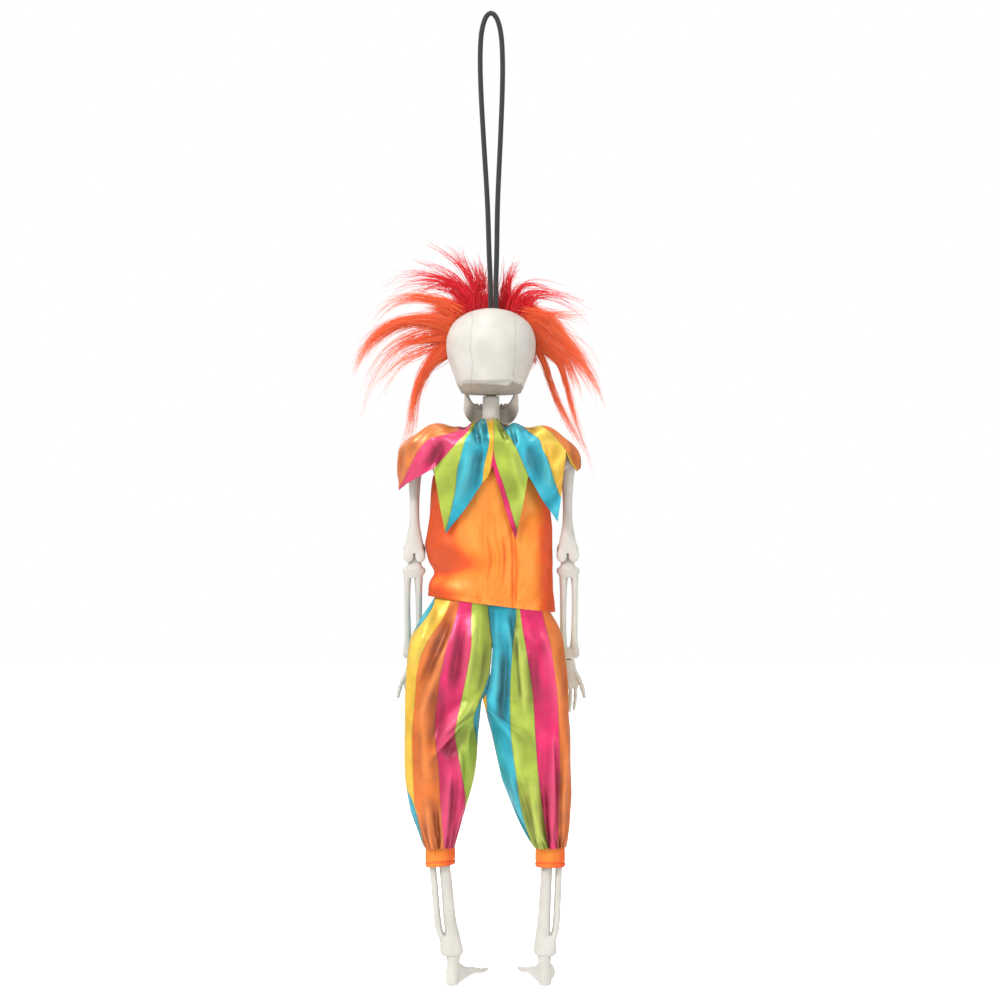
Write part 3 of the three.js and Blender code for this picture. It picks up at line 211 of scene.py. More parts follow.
def mesh_piece(name, points, quads=None, fans=None, uv=None, values=None, normals=None):
    """A mesh object from arrays: points in millimetres, quads and triangles as rows of numbers,
    a UV and any named values for each point."""
    mesh = bpy.data.meshes.new(name)
    quads = np.zeros((0, 4), int) if quads is None else quads
    fans = np.zeros((0, 3), int) if fans is None else fans
    corners = np.concatenate([quads.ravel(), fans.ravel()]).astype(np.int32)
    sizes = np.concatenate([np.full(len(quads), 4), np.full(len(fans), 3)]).astype(np.int32)
    mesh.vertices.add(len(points))
    mesh.vertices.foreach_set("co", (np.asarray(points) / 1000).astype(np.float32).ravel())
    mesh.loops.add(len(corners))
    mesh.loops.foreach_set("vertex_index", corners)
    mesh.polygons.add(len(sizes))
    starts = np.concatenate([[0], np.cumsum(sizes)[:-1]]).astype(np.int32)
    mesh.polygons.foreach_set("loop_start", starts)
    mesh.polygons.foreach_set("use_smooth", np.ones(len(sizes), bool))
    mesh.update(calc_edges=True)
    if uv is not None:
        layer = mesh.uv_layers.new(name="UVMap")
        layer.data.foreach_set("uv", np.asarray(uv)[corners].astype(np.float32).ravel())
    for key, numbers in (values or {}).items():
        attribute = mesh.attributes.new(key, "FLOAT", "POINT")
        attribute.data.foreach_set("value", np.asarray(numbers, np.float32).ravel())
    mesh.validate()
    if normals is not None:
        mesh.normals_split_custom_set_from_vertices(normals.reshape(-1, 3).tolist())
    piece = bpy.data.objects.new(name, mesh)
    bpy.context.scene.collection.objects.link(piece)
    return piece


def joined(shells):
    """Several closed solids as one set of points and faces."""
    points, quads, fans, start = [], [], [], 0
    for p, q, f in shells:
        points.append(p)
        quads.append(q + start)
        fans.append(f + start)
        start += len(p)
    return np.concatenate(points), np.concatenate(quads), np.concatenate(fans)


def settle(piece):
    """Applies the piece's modifiers, so that what is left is a plain mesh."""
    graph = bpy.context.evaluated_depsgraph_get()
    mesh = bpy.data.meshes.new_from_object(piece.evaluated_get(graph))
    piece.modifiers.clear()
    piece.data = mesh
    mesh.polygons.foreach_set("use_smooth", np.ones(len(mesh.polygons), bool))
    return piece


def fused(name, shells, voxel=0.35, rounds=6):
    """One moulding from several closed forms: they are melted into one skin of even faces, and
    the skin is smoothed so that the forms flow into each other."""
    piece = mesh_piece(name, *joined([closed_skin(rings) for rings in shells]))
    remesh = piece.modifiers.new("Melt", "REMESH")
    remesh.mode, remesh.voxel_size, remesh.use_smooth_shade = "VOXEL", voxel / 1000, True
    smooth = piece.modifiers.new("Smooth", "SMOOTH")
    smooth.factor, smooth.iterations = 0.5, rounds
    return settle(piece)


def carved(piece, solid, keep=False):
    """The piece with another solid cut out of it, or with only what lies inside that solid."""
    tool = mesh_piece("tool", *closed_skin(solid))
    cut = piece.modifiers.new("Cut", "BOOLEAN")
    cut.operation, cut.solver, cut.object = "INTERSECT" if keep else "DIFFERENCE", "MANIFOLD", tool
    settle(piece)
    bpy.data.objects.remove(tool)
    return piece


def slab(low, high):
    """Rings of a plain box between two corners."""
    (x0, y0, z0), (x1, y1, z1) = low, high
    ring = np.array([[x0, y0], [x1, y0], [x1, y1], [x0, y1]], float)
    return np.stack([np.column_stack([ring, np.full(4, z)]) for z in (z0, z1)])


def copy_of(piece, name):
    """A second piece with the same mesh, free to be cut by itself."""
    twin = bpy.data.objects.new(name, piece.data.copy())
    bpy.context.scene.collection.objects.link(twin)
    return twin


# Finishes


def colour(text):
    """The linear colour of an sRGB hex value."""
    v = np.array([int(text[i : i + 2], 16) for i in (1, 3, 5)]) / 255
    v = np.where(v <= 0.04045, v / 12.92, ((v + 0.055) / 1.055) ** 2.4)
    return (*v.tolist(), 1.0)


def node(tree, kind, settings=None, links=None):
    """Adds a node, sets its properties or sockets by name, and links its inputs."""
    made = tree.nodes.new(kind)
    for key, value in (settings or {}).items():
        if isinstance(key, str) and hasattr(made, key):
            setattr(made, key, value)
        else:
            made.inputs[key].default_value = value
    for key, source in (links or {}).items():
        tree.links.new(source, made.inputs[key])
    return made


def emptied(owner):
    """The node tree of a material or world, with no nodes in it."""
    owner.use_nodes = True
    owner.node_tree.nodes.clear()
    return owner.node_tree


def finish(name, shader, bump_from=None, bump_strength=0.2, bump_mm=0.1, colour_from=None, rough_from=None):
    """A material with one shader. Its settings are the shader's own sockets, and only a pattern
    of colour, roughness or height is linked."""
    material = bpy.data.materials.new(name)
    tree = emptied(material)
    surface = node(tree, "ShaderNodeBsdfPrincipled", shader)
    if colour_from:
        tree.links.new(colour_from(tree), surface.inputs["Base Color"])
    if rough_from:
        tree.links.new(rough_from(tree), surface.inputs["Roughness"])
    if bump_from:
        raised = node(
            tree, "ShaderNodeBump", {"Strength": bump_strength, "Distance": bump_mm / 1000},
            {"Height": bump_from(tree)},
        )
        tree.links.new(raised.outputs[0], surface.inputs["Normal"])
    node(tree, "ShaderNodeOutputMaterial", {}, {"Surface": surface.outputs[0]})
    return material


def ramp(tree, factor, stops, kind="LINEAR"):
    """A colour ramp with its stops, each a place from 0 to 1 and a hex colour."""
    made = node(tree, "ShaderNodeValToRGB", {}, {"Fac": factor})
    made.color_ramp.interpolation = kind
    elements = made.color_ramp.elements
    while len(elements) < len(stops):
        elements.new(0.5)
    for element, (place, value) in zip(elements, stops):
        element.position, element.color = place, colour(value)
    return made.outputs["Color"]


def between(tree, factor, low, high, start=0.3, end=0.7):
    """A number from low to high as a factor goes from start to end."""
    return node(
        tree, "ShaderNodeMapRange", {"From Min": start, "From Max": end, "To Min": low, "To Max": high},
        {"Value": factor},
    ).outputs[0]


def places(tree, kind="Object"):
    """Each spot's place: on the piece's own axes in metres, or its UV."""
    return node(tree, "ShaderNodeTexCoord").outputs[kind]


def noise(tree, size_mm, detail=3.0, source="Object", stretch=(1, 1, 1)):
    """Noise whose grains are about so many millimetres across, on the piece's own places."""
    place = places(tree, source)
    scale = node(
        tree, "ShaderNodeMapping", {"Scale": [1000 / size_mm / s for s in stretch]}, {"Vector": place}
    )
    return node(
        tree, "ShaderNodeTexNoise", {"Scale": 1.0, "Detail": detail, "Roughness": 0.55},
        {"Vector": scale.outputs[0]}
    ).outputs[0]


def mixed(tree, factor, a, b, blend_type="MIX"):
    """Two colours mixed by a factor. A colour is a socket or a hex value."""
    made = node(tree, "ShaderNodeMix", {"data_type": "RGBA", "blend_type": blend_type})
    for key, value in ((0, factor), (6, a), (7, b)):
        if isinstance(value, bpy.types.NodeSocket):
            tree.links.new(value, made.inputs[key])
        else:
            made.inputs[key].default_value = colour(value) if isinstance(value, str) else value
    return made.outputs[2]


def times(tree, product, *colours):
    """Colours multiplied with one another."""
    for value in colours:
        product = mixed(tree, 1.0, product, value, "MULTIPLY")
    return product


def value_of(tree, name):
    """A named value of the piece's points, as a number."""
    return node(tree, "ShaderNodeAttribute", {"attribute_name": name}).outputs["Fac"]


def maths(tree, operation, a, b=0.0):
    """One sum on two numbers, each a socket or a constant."""
    made = node(tree, "ShaderNodeMath", {"operation": operation})
    for key, value in ((0, a), (1, b)):
        if isinstance(value, bpy.types.NodeSocket):
            tree.links.new(value, made.inputs[key])
        else:
            made.inputs[key].default_value = value
    return made.outputs[0]


def hex_of(rgb):
    """The hex value of a colour property, whose numbers are linear."""
    v = np.clip(np.array(rgb), 0, 1)
    v = np.where(v <= 0.0031308, v * 12.92, 1.055 * v ** (1 / 2.4) - 0.055)
    return "#" + "".join(f"{round(c * 255):02X}" for c in v)


def dress(piece, material):
    """Gives the piece this material alone, and returns the piece."""
    piece.data.materials.clear()
    piece.data.materials.append(material)
    return piece


def painted_crevice_shade(tree, reach=0.005):
    """Painted shade: a warm grey where a surface is closed in on itself, darker the more it is shut in."""
    open_sky = node(tree, "ShaderNodeAmbientOcclusion", {"Distance": reach}).outputs["AO"]
    return ramp(tree, open_sky, [(0.25, "#A39A90"), (0.85, "#FFFFFF")])


# Below this height the skull is greyed as painted shade under its ledge.
SHADED_RIM_Z = -0.2182  # where the skull's ledge ends and its greyer rim begins, in metres
SEAM_PIXELS = (472, 514)  # the two mould seams, as pixel places across the photograph


def skull_shade_and_seams(tree):
    """What the back of the skull shows: painted shade on the rim under a wavy ledge, painted shade
    where the surface closes in on itself, and two faint mould seams that run down the shell."""
    white = (1, "#FFFFFF")
    place = places(tree)
    apart = node(tree, "ShaderNodeSeparateXYZ", {}, {0: place}).outputs
    wave = between(tree, noise(tree, 9, 2), -0.0012, 0.0012)
    wavy_x = maths(tree, "ADD", apart["X"], maths(tree, "MULTIPLY", wave, 0.9))
    wavy_z = maths(tree, "ADD", apart["Z"], wave)
    # Painted shade: the rim under the wavy ledge is greyer, as if in the ledge's shadow.
    painted_ledge_shade = ramp(tree, between(tree, wavy_z, 0, 1, SHADED_RIM_Z, SHADED_RIM_Z + 0.0008), [(0, "#C2BAB0"), white])
    marked = times(tree, painted_crevice_shade(tree), painted_ledge_shade)
    for px in SEAM_PIXELS:
        off = maths(tree, "ABSOLUTE", maths(tree, "SUBTRACT", wavy_x, float(seen(px, 0)[0]) / 1000))
        line = ramp(tree, between(tree, off, 0, 1, 0.00008, 0.0004), [(0, "#E8E4DC"), white])
        marked = times(tree, marked, line)
    return marked


def skull_plastic():
    """The skull's own moulding of the same PVC, with painted shade on its rim and in its hollows, and its
    seams.
    """
    return bone_plastic("ivory_pvc_skull", skull_shade_and_seams)


def face_plastic():
    """The skull's plastic on the face and jaw, with painted shade reaching further into its sockets and the
    jaw's inner side.
    """
    return bone_plastic("ivory_pvc_face", lambda tree: painted_crevice_shade(tree, 0.016))


def bone_plastic(name="ivory_pvc_moulded", shade_and_marks=painted_crevice_shade):
    """Soft PVC, moulded with a fine spark texture: a dull ivory with faint warm clouding, painted shade
    where the surface closes in on itself, and slightly greasier places where it is handled."""
    return finish(
        name,
        {
            "Roughness": 0.46, "IOR": 1.5, "Subsurface Weight": 0.06,
            "Subsurface Radius": (0.004, 0.003, 0.002)
        },
        bump_from=lambda t: noise(t, 0.7, 4),
        bump_strength=0.12,
        bump_mm=0.08,
        colour_from=lambda t: times(
            t, ramp(t, noise(t, 14, 2), [(0.3, "#CAC6BC"), (0.7, "#D8D5CD")]), shade_and_marks(t)
        ),
        rough_from=lambda t: between(t, noise(t, 6, 2), 0.4, 0.56),
    )


def steel_pin():
    """Drawn steel wire, cut to length: a bright metal with fine lines along it."""
    return finish(
        "steel_wire_drawn", {"Metallic": 1.0, "Roughness": 0.3},
        bump_from=lambda t: noise(t, 0.3, 2, stretch=(12, 1, 1)), bump_mm=0.02,
        colour_from=lambda t: ramp(t, noise(t, 2, 2), [(0.3, "#A9ADB1"), (0.7, "#C9CCCF")]),
    )


def cord_braid():
    """Polyester cord, tightly braided and waxed: charcoal with a fine diagonal plait 0.9 mm long.
    Its UV runs round and along the cord in millimetres."""

    def plait(tree):
        """The higher of two sets of waves that lean either way."""
        place = places(tree, "UV")
        waves = []
        for lean in (1, -1):
            turn = node(
                tree, "ShaderNodeMapping", {"Rotation": (0, 0, lean * 0.75), "Scale": (1.1, 1.1, 1)},
                {"Vector": place}
            )
            wave = node(
                tree, "ShaderNodeTexWave", {"Scale": 0.55, "Distortion": 0.6}, {"Vector": turn.outputs[0]}
            )
            waves.append(wave.outputs["Fac"])
        return maths(tree, "MAXIMUM", *waves)

    return finish(
        "polyester_cord_braided", {"Roughness": 0.62, "Sheen Weight": 0.25, "Sheen Roughness": 0.5},
        bump_from=plait, bump_strength=0.35, bump_mm=0.25,
        colour_from=lambda t: ramp(t, plait(t), [(0.1, "#101212"), (0.9, "#232727")]),
    )


# The skeleton


def neck_post():
    """The neck: a smooth post on the ribcage with a snap peg for the skull."""
    profile = [
        # radius and height, from its foot to the end of the peg
        (0.1, -249), (4.6, -249), (5.2, -248.4), (5.2, -240), (4.9, -232), (4.9, -225.6), (4.4, -224.4),
        (3, -224.1), (3, -214), (3.9, -213.2), (3.7, -212), (2, -211.3), (0.1, -211.3),
    ]
    return mesh_piece("neck_post_lathe", *closed_skin(turned(profile, count=90, sides=56)))


def knob(profile, side, x, y, z):
    """A joint ball turned about the X axis, its profile given from its inner face outwards."""
    return turned([(r, side * d) for r, d in profile], "x", (x, y, z), sides=36)


def cheek(x, y, z, half, radius, reach=0.0):
    """One cheek of a fork: a thick coin on the joint's axis, drawn out upwards by the reach."""
    return egg((x, y, z + reach / 2), (half, radius, radius + reach / 2), 24, 28)


def humerus(name):
    """The upper arm: a shaft of level ovals with a ball on the shoulder pin, a small lump ahead of
    the ball, and below a wide brow, two knuckles behind and the two cheeks of the elbow's fork."""
    side = SIDES[name]
    x = side * ARM_X

    def y(z):
        """The shaft's middle: 1 mm further back at the elbow."""
        return -3 + (SHOULDER - z) / 55.5

    # height, half width and half depth, up the shaft
    rows = [
        (ELBOW + 4.6, 5.2, 3.6), (ELBOW + 8, 4.6, 3.6), (ELBOW + 13, 3.6, 3.2), (ELBOW + 21, 2.9, 2.9),
        (SHOULDER - 24, 2.9, 3.0), (SHOULDER - 13, 3.6, 3.6), (SHOULDER - 3, 4.8, 5.0),
        (SHOULDER + 1, 4.2, 4.6),
    ]
    shaft = ovals([(z, x, y(z), w, d) for z, w, d in rows], sides=28)
    ball = knob(
        [(0, 0), (5.3, 0.2), (7.0, 1.8), (7.2, 4.5), (6.9, 7.2), (5.0, 9.6), (2.4, 10.8), (0, 11)], side,
        side * 38.3, -3, SHOULDER
    )
    cheeks = [cheek(x + s * 4.75, -2, ELBOW + 0.6, 1.75, 4.2, 1.5) for s in (1, -1)]
    cover = ovals([
        (ELBOW + 0.5, x, 1.9, 5.2, 1.1, 1.5), (ELBOW + 4, x, 1.4, 5.6, 1.4, 1.9),
        (ELBOW + 10, x, 0.2, 4.5, 2.2, 2.4), (ELBOW + 17, x, -1.4, 3.2, 2.4, 2.6),
        (ELBOW + 26, x, -2.2, 2.4, 2.2, 2.4),
    ], 40, 26)
    condyles = [egg((x + s * 3.5, 2.0, ELBOW - 0.6), (3.2, 1.5, 4.4)) for s in (1, -1)]
    brow = ovals([
        (ELBOW + 3.9, x, -2, 5.2, 3.2), (ELBOW + 5, x, -2, 5.4, 3.5), (ELBOW + 9, x, -2, 4.4, 3.4),
    ], 16, 28)
    tubercle = egg((x - side * 1.4, -6.2, SHOULDER - 3), (2.2, 2.4, 4.5))
    return [shaft, ball, brow, tubercle, cover, *condyles, *cheeks]


def forearm(name):
    """The forearm: two thin bones as runs of level ovals, joined by a head and a neck above, with
    a barrel on the elbow pin, and by a foot over the wrist."""
    side = SIDES[name]
    x = side * ARM_X
    top = ELBOW - 7.6

    def y(z):
        """The bones' middle: 7 mm further ahead at the wrist."""
        return -2 - 7 * (ELBOW - z) / 62.3

    def run(rows, offset):
        """One bone's level ovals, moved outwards."""
        # height, shift outwards, half width and half depth
        return ovals([(z, x + side * (offset + s), y(z), w, d) for z, s, w, d in rows], 44, 24)

    outer = run([
        (WRIST + 0.4, 0.3, 1.6, 1.6), (WRIST + 2.4, 0.2, 3.0, 2.7), (WRIST + 6, 0, 2.7, 2.5),
        (WRIST + 13, 0, 2.0, 2.0), (WRIST + 30, 0.3, 1.8, 1.9), (top - 12, 0.2, 1.9, 2.1),
        (top - 5, 0, 2.4, 2.7), (top - 1.5, -0.3, 2.6, 3.0),
    ], 4.1)
    inner = run([
        (WRIST + 2.0, 0.6, 1.5, 1.5), (WRIST + 3.6, 0.4, 2.5, 2.3), (WRIST + 8, 0.1, 2.1, 2.1),
        (WRIST + 24, -0.1, 1.8, 2.0), (top - 14, 0, 2.1, 2.3), (top - 6, 0.1, 2.6, 2.9),
        (top - 1.5, 0.5, 2.8, 3.2),
    ], -2.4)
    head = ovals([
        (top - 6.5, x + side * 0.5, y(top), 4.6, 2.4), (top - 3.6, x + side * 0.4, y(top), 6.6, 3.3),
        (top - 1.2, x + side * 0.3, y(top), 6.6, 3.6), (top + 0.4, x, y(top), 4.4, 3.0),
    ], 24, 30, 2.5)
    neck = ovals([
        (top - 2, x, -2, 5.0, 3.2), (top + 1.6, x, -2, 4.1, 2.5), (ELBOW - 4.7, x, -2, 3.9, 2.4),
        (ELBOW - 4.1, x, -2, 2.85, 2.3), (ELBOW, x, -2, 2.85, 2.6),
    ], 30, 24, 3)
    barrel = knob(
        [(0, -2.85), (2.9, -2.8), (3.3, -1.8), (3.3, 1.8), (2.9, 2.8), (0, 2.85)], side, x, -2, ELBOW
    )
    foot = ovals([
        (WRIST + 0.1, side * HAND_X, -9, 3.9, 2.4),
        (WRIST + 2, side * HAND_X, y(WRIST + 2), 4.5, 2.7),
        (WRIST + 5, side * HAND_X, y(WRIST + 5), 4.2, 2.5),
        (WRIST + 7, side * HAND_X, y(WRIST + 7), 2.6, 1.6),
    ], 24, 28, 2.4)
    return [outer, inner, head, neck, barrel, foot]


# Each finger's place across the palm, as a share of its width, and its reach in millimetres
FINGERS = ((-0.36, 12.5), (-0.13, 14.6), (0.1, 15), (0.33, 14))


def hand(name):
    """The hand: a flat palm of level ovals on the wrist's peg, and four fingers and a thumb, each
    a tube along a curve that swells at its knuckles and thins to its tip."""
    side = SIDES[name]
    x, y = side * HAND_X, -9.0
    forms = [
        ovals([
            (WRIST - 0.4, x, y, 3.3, 1.9), (WRIST - 3, x, y, 4.0, 2.1),
            (WRIST - 6, x, y - 0.1, 4.8, 2.0), (WRIST - 12, x, y - 0.6, 5.9, 1.3),
            (WRIST - 17.4, x, y - 1.2, 5.8, 1.2),
        ], 30, 30),
        tube([(x, y, WRIST - 3), (x, y, WRIST), (x, y, WRIST + 3.4)], 1.25, sides=16),
    ]
    t = np.linspace(0, 1, 40)
    for i, (share, reach) in enumerate(FINGERS):
        root_x, root_z = x + side * share * 12.6, WRIST - 17
        path = through([
            (x + side * share * 7, y + 0.3, WRIST - 5.5), (root_x, y - 0.7, WRIST - 12),
            (root_x, y - 1.4, root_z), (root_x - side * 0.1, y - 2.3, root_z - reach * 0.5),
            (root_x - side * 0.3 * i, y - 4, root_z - reach),
        ], 40)
        knuckles = sum(bump((t - k) / 0.09) for k in (0.5, 0.69, 0.84))
        forms.append(tube(path, (1.28 - 0.45 * t) * (1 + 0.22 * knuckles), sides=14))
    t = np.linspace(0, 1, 36)
    path = through([(x + side * 2.2, y, WRIST - 5), (x + side * 5.2, y - 0.4, WRIST - 10.5),
                    (x + side * 7.8, y - 1, WRIST - 16), (x + side * 9.6, y - 2, WRIST - 23.4)], 36)
    forms.append(
        tube(path, (1.75 - 0.7 * t) * (1 + 0.2 * (bump((t - 0.45) / 0.1) + bump((t - 0.75) / 0.1))), sides=14)
    )
    return forms


def femur(name):
    """The thigh: a shaft of level ovals that leans out to the knee, with a ball on the hip pin, a
    lump outside it, and below a brow and the two cheeks of the knee's fork."""
    side, knee = SIDES[name], KNEE_X[name]

    def place(z):
        """The shaft's X: straight from the hip's to the knee's."""
        return side * HIP_X + (knee - side * HIP_X) * np.clip((HIP - z) / 84, 0, 1)

    def back(z):
        """The shaft's Y: straight from 1 at the hip to 0 at the knee."""
        return 1 - np.clip((HIP - z) / 92, 0, 1)

    # height, half width and half depth, up the shaft
    rows = [(KNEE + 4.8, 5.2, 4.2), (KNEE + 9, 4.8, 4.2), (KNEE + 15, 3.8, 3.8), (KNEE + 27, 3.2, 3.4),
            (HIP - 40, 3.2, 3.4), (HIP - 22, 3.6, 3.7), (HIP - 8, 4.2, 4.3), (HIP + 1, 3.4, 4.0)]
    shaft = ovals([(z, place(z), back(z), w, d) for z, w, d in rows], 50, 28)
    ball = knob(
        [(0, 0), (5.2, 0.2), (6, 1.4), (6, 5.4), (5.0, 7.6), (3, 8.5), (0, 8.6)], side, side * 12.7, 1, HIP
    )
    brow = ovals([
        (KNEE + 4, knee, 0, 6.2, 4), (KNEE + 6, knee, 0, 6.2, 4.6), (KNEE + 9.5, knee, 0, 4.8, 4.2),
    ], 16, 28)
    cheeks = [cheek(knee + s * 4.95, 0, KNEE + 0.8, 1.75, 4.8, 2.4) for s in (1, -1)]
    trochanter = egg((side * 22.6, 1, HIP - 8), (3.2, 3.6, 5))
    return [shaft, ball, brow, trochanter, *cheeks]


def shin(name):
    """The shin: two bones as runs of level ovals down a middle line that bows outwards, joined by
    a head and a neck above, with a barrel on the knee pin, and by a foot over the ankle."""
    side, knee, ankle = SIDES[name], KNEE_X[name], ANKLE_X[name]
    long = KNEE - ANKLE
    bow = 1.9 if side > 0 else 1.1

    def middle(d):
        """The X between the bones: a straight line that bows outwards."""
        bend = 0.8 * np.sin(np.pi * d / long) + bow * bump((d - 72) / 32)
        return knee + (ankle - knee) * d / long + side * bend

    def run(rows, offset, **more):
        """One bone's level ovals, moved outwards, and back towards the ankle."""
        # distance under the knee, shift outwards, half width and half depth
        return ovals(
            [(KNEE - d, middle(d) + side * (offset + s), 2 * d / long, w, f) for d, s, w, f in rows],
            **more)

    tibia = run([
        (93, 0.4, 4.3, 3.2), (90.5, 0.6, 5.2, 4.1), (86, 0.3, 4.9, 3.7), (80, -0.4, 4.2, 3.5),
        (72, -0.6, 3.7, 3.4), (50, -0.3, 3.4, 3.1), (28, 0, 3.3, 3.2), (15, 0.3, 3.7, 3.8),
        (10, 0.6, 4.2, 4.1),
    ], -2.7, count=60, sides=26)
    fibula = run([
        (93.6, -1.6, 1.8, 1.9), (90, -1.5, 2.7, 2.6), (84, -0.8, 2.3, 2.4), (76, 0.2, 2.1, 2.2),
        (50, 0.2, 2.05, 2.0), (24, 0, 2.05, 2.0), (11, -0.6, 2.2, 2.3),
    ], 4.0, count=60, sides=20)
    head = run(
        [(17, 0, 5.0, 3.0), (12, 0, 6.5, 4.1), (9.8, 0, 6.4, 4.2), (8.4, 0, 4.6, 3.6)], 0, count=24, sides=30,
        power=2.5
    )
    foot = run([
        (94.3, 0, 4.9, 3.6), (92.6, 0, 6.7, 4.7), (90, -0.5, 6.7, 4.7), (86, -0.4, 5.8, 4.0),
        (82.5, 0, 4.2, 2.4),
    ], 0, count=30, sides=30, power=2.4)
    neck = ovals([
        (KNEE - 10, knee, 0, 3.6, 3.6), (KNEE - 6, knee, 0, 2.95, 2.8), (KNEE, knee, 0, 2.95, 2.8),
    ], 16, 24, 3)
    barrel = knob(
        [(0, -2.95), (3.2, -2.9), (3.6, -1.9), (3.6, 1.9), (3.2, 2.9), (0, 2.95)], side, knee, 0, KNEE
    )
    return [tibia, fibula, head, foot, neck, barrel]


# How far each toe reaches ahead of the ankle, from the big toe outwards, in millimetres
TOE_REACH = (27.5, 26.9, 26.1, 25.1, 23.9)


def foot(name):
    """The foot with its toes to the front: a heel column, an arched sole of level slices from heel
    to toes, and five toes, all then turned in about the ankle."""
    side = SIDES[name]
    # Along the foot: half width, height and how far the sole is raised
    sole = through([
        (-3.6, 2.4, 8, 0), (-1, 3.5, 15, 0), (4, 3.8, 12.6, 0.4), (9, 4.3, 7.8, 2.2),
        (14, 5.0, 4.8, 3.8), (19, 5.5, 3.4, 4.4), (21.4, 5.2, 2.4, 4.8),
    ], 44)
    along, wide, high, lift = sole.T[:, :, None]
    turn = around(30)
    c, s = squared(np.cos(turn), 2.5), squared(np.sin(turn), 2.5)
    instep = stacked(wide * c, -along, -16.9 + lift + high / 2 * (1 + s))
    column = ovals([
        (-17.1, 0, 0.6, 2.4, 2.8), (-15.8, 0, 0.6, 3.8, 4.0), (-11, 0, 0.4, 3.9, 4),
        (-4, 0, 0, 3.7, 3.8), (-1.0, 0, 0, 4.1, 4.0), (0.5, 0, 0, 3.9, 3.8),
    ], 40, 30)
    outer_knob = egg((side * 1.4, 0.5, -9.4), (2.8 if side > 0 else 5.0, 3.2, 5.6))
    forms = [instep, column, outer_knob, tube([(0, 0, -3), (0, 0, 0), (0, 0, 4.6)], 1.9, sides=18)]
    for i, reach in enumerate(TOE_REACH):
        x = side * (-4.6 + i * 2.3)
        path = through([
            (x * 0.5, -9, -8.4), (x * 0.85, -14, -10.2), (x, -19, -11.2),
            (x * 1.05, -(19 + reach) / 2 - 1, -11.4), (x * 1.02, -reach, -11.0),
        ], 36)
        u = np.linspace(0, 1, 36)
        bulges = 1 + 0.2 * (bump((u - 0.62) / 0.1) + bump((u - 0.84) / 0.1))
        forms.append(
            tube(path, ((1.35 if i == 0 else 1.0) - 0.25 * u) * bulges, sides=12, reference=(0, 0, 1))
        )
    spin = spun(math.radians(-side * TOE_IN[name]))
    return [f @ spin + np.array([ANKLE_X[name], 2.0, ANKLE]) for f in forms]


BONES = {
    # the maker of its forms, the end of its body's name, and the fineness of its skin in millimetres
    "humerus": (humerus, "upper_arm", 0.35),
    "forearm": (forearm, "lower_arm", 0.3),
    "hand": (hand, "hand", 0.26),
    "femur": (femur, "thigh", 0.45),
    "shin": (shin, "shin", 0.38),
    "foot": (foot, "foot", 0.3),
}

# The skull

SKULL_ROWS = [
    # share down, half width, depth to the face, depth to the back, as shares
    (-0.004, 0.004, 0.006, 0.006), (0.004, 0.2, 0.3, 0.28), (0.05, 0.53, 0.62, 0.58),
    (0.16, 0.83, 0.88, 0.83), (0.3, 0.97, 0.98, 0.95), (0.43, 1, 1, 1), (0.57, 0.97, 0.97, 0.99),
    (0.7, 0.885, 0.92, 0.95), (0.8, 0.815, 0.9, 0.89), (0.855, 0.775, 0.88, 0.845),
    (0.88, 0.755, 0.87, 0.69), (0.95, 0.69, 0.85, 0.6), (0.985, 0.63, 0.8, 0.5), (1.0, 0.3, 0.4, 0.2),
    (1.0, 0.004, 0.006, 0.006),
]
EYE_X, EYE_Z = 10.8, CROWN - 50.7 * 0.6


def skull_surface(inset=0.0, rows=170, cols=220):
    """The skull as level ovals from crown to base, drawn in all round by the inset. Bells in X and
    Z press the eye sockets, the nose and the temples into the front, and lift brow and cheeks."""
    down, wide, front, back = through(SKULL_ROWS, rows).T[:, :, None]
    turn = around(cols)
    c, s = squared(np.cos(turn), 2.15), squared(np.sin(turn), 2.15)
    ledge = 0.006 * np.sin(5 * turn + 1) + 0.004 * np.sin(11 * turn)
    z = CROWN - 50.7 * (down + ledge * bump((down - 0.87) / 0.06)) - inset * (1 - 2 * down)
    shrink = lambda size, share: np.maximum(size * share - inset * ease(share, 0, 0.25), 0.004 * size)
    x = shrink(26.4, wide) * c
    y = np.where(s > 0, shrink(33.5, back), shrink(30.0, front)) * s
    ahead = ease(-y, 6, 16)
    side = np.abs(x)
    off_eye = np.hypot((side - EYE_X) / 6.9, (z - EYE_Z + 0.08 * (side - EYE_X)) / 6.2)
    socket = ease(1.5 - off_eye, 0.25, 0.72) + 0.75 * np.clip(1 - off_eye, 0, 1)
    nose = ease(1.5 - np.hypot((side - 1.3) / (2.2 + 0.09 * (EYE_Z - z)), (z - EYE_Z + 10.5) / 5.0), 0.3, 0.7)
    temple = bump(np.hypot((y + 15) / 13, (z - EYE_Z - 4) / 12)) * ease(side, 12, 20)
    brow = bump(np.hypot((side - 10) / 11, (z - EYE_Z - 8.2) / 3.6)) * ahead
    bridge = bump(np.hypot(side / 3.6, (z - EYE_Z + 2) / 7)) * ahead
    y = y + ahead * (8.6 * socket + 6.0 * nose) - 1.5 * brow - 1.7 * bridge
    x = x * (1 - 0.075 * temple)
    cheekbone = bump(np.hypot((side - 18.5) / 6, (z - EYE_Z + 8) / 4)) * ahead
    y = y - 1.8 * cheekbone
    return np.stack([x, y, z], -1)


def teeth(y_front, z, upward, half=10.5, count=10, depth=8.5):
    """A row of small rounded teeth on half an oval, each an egg that is square across the arch."""
    forms = []
    for share in np.linspace(-0.86, 0.86, count):
        a = share * np.pi / 2
        middle = (half * math.sin(a), y_front + depth * (1 - math.cos(a)), z + upward * 1.7)
        tooth = egg((0, 0, 0), (1.22, 0.95, 2.4), 16, 18)
        forms.append(tooth @ spun(a) + np.array(middle))
    return forms


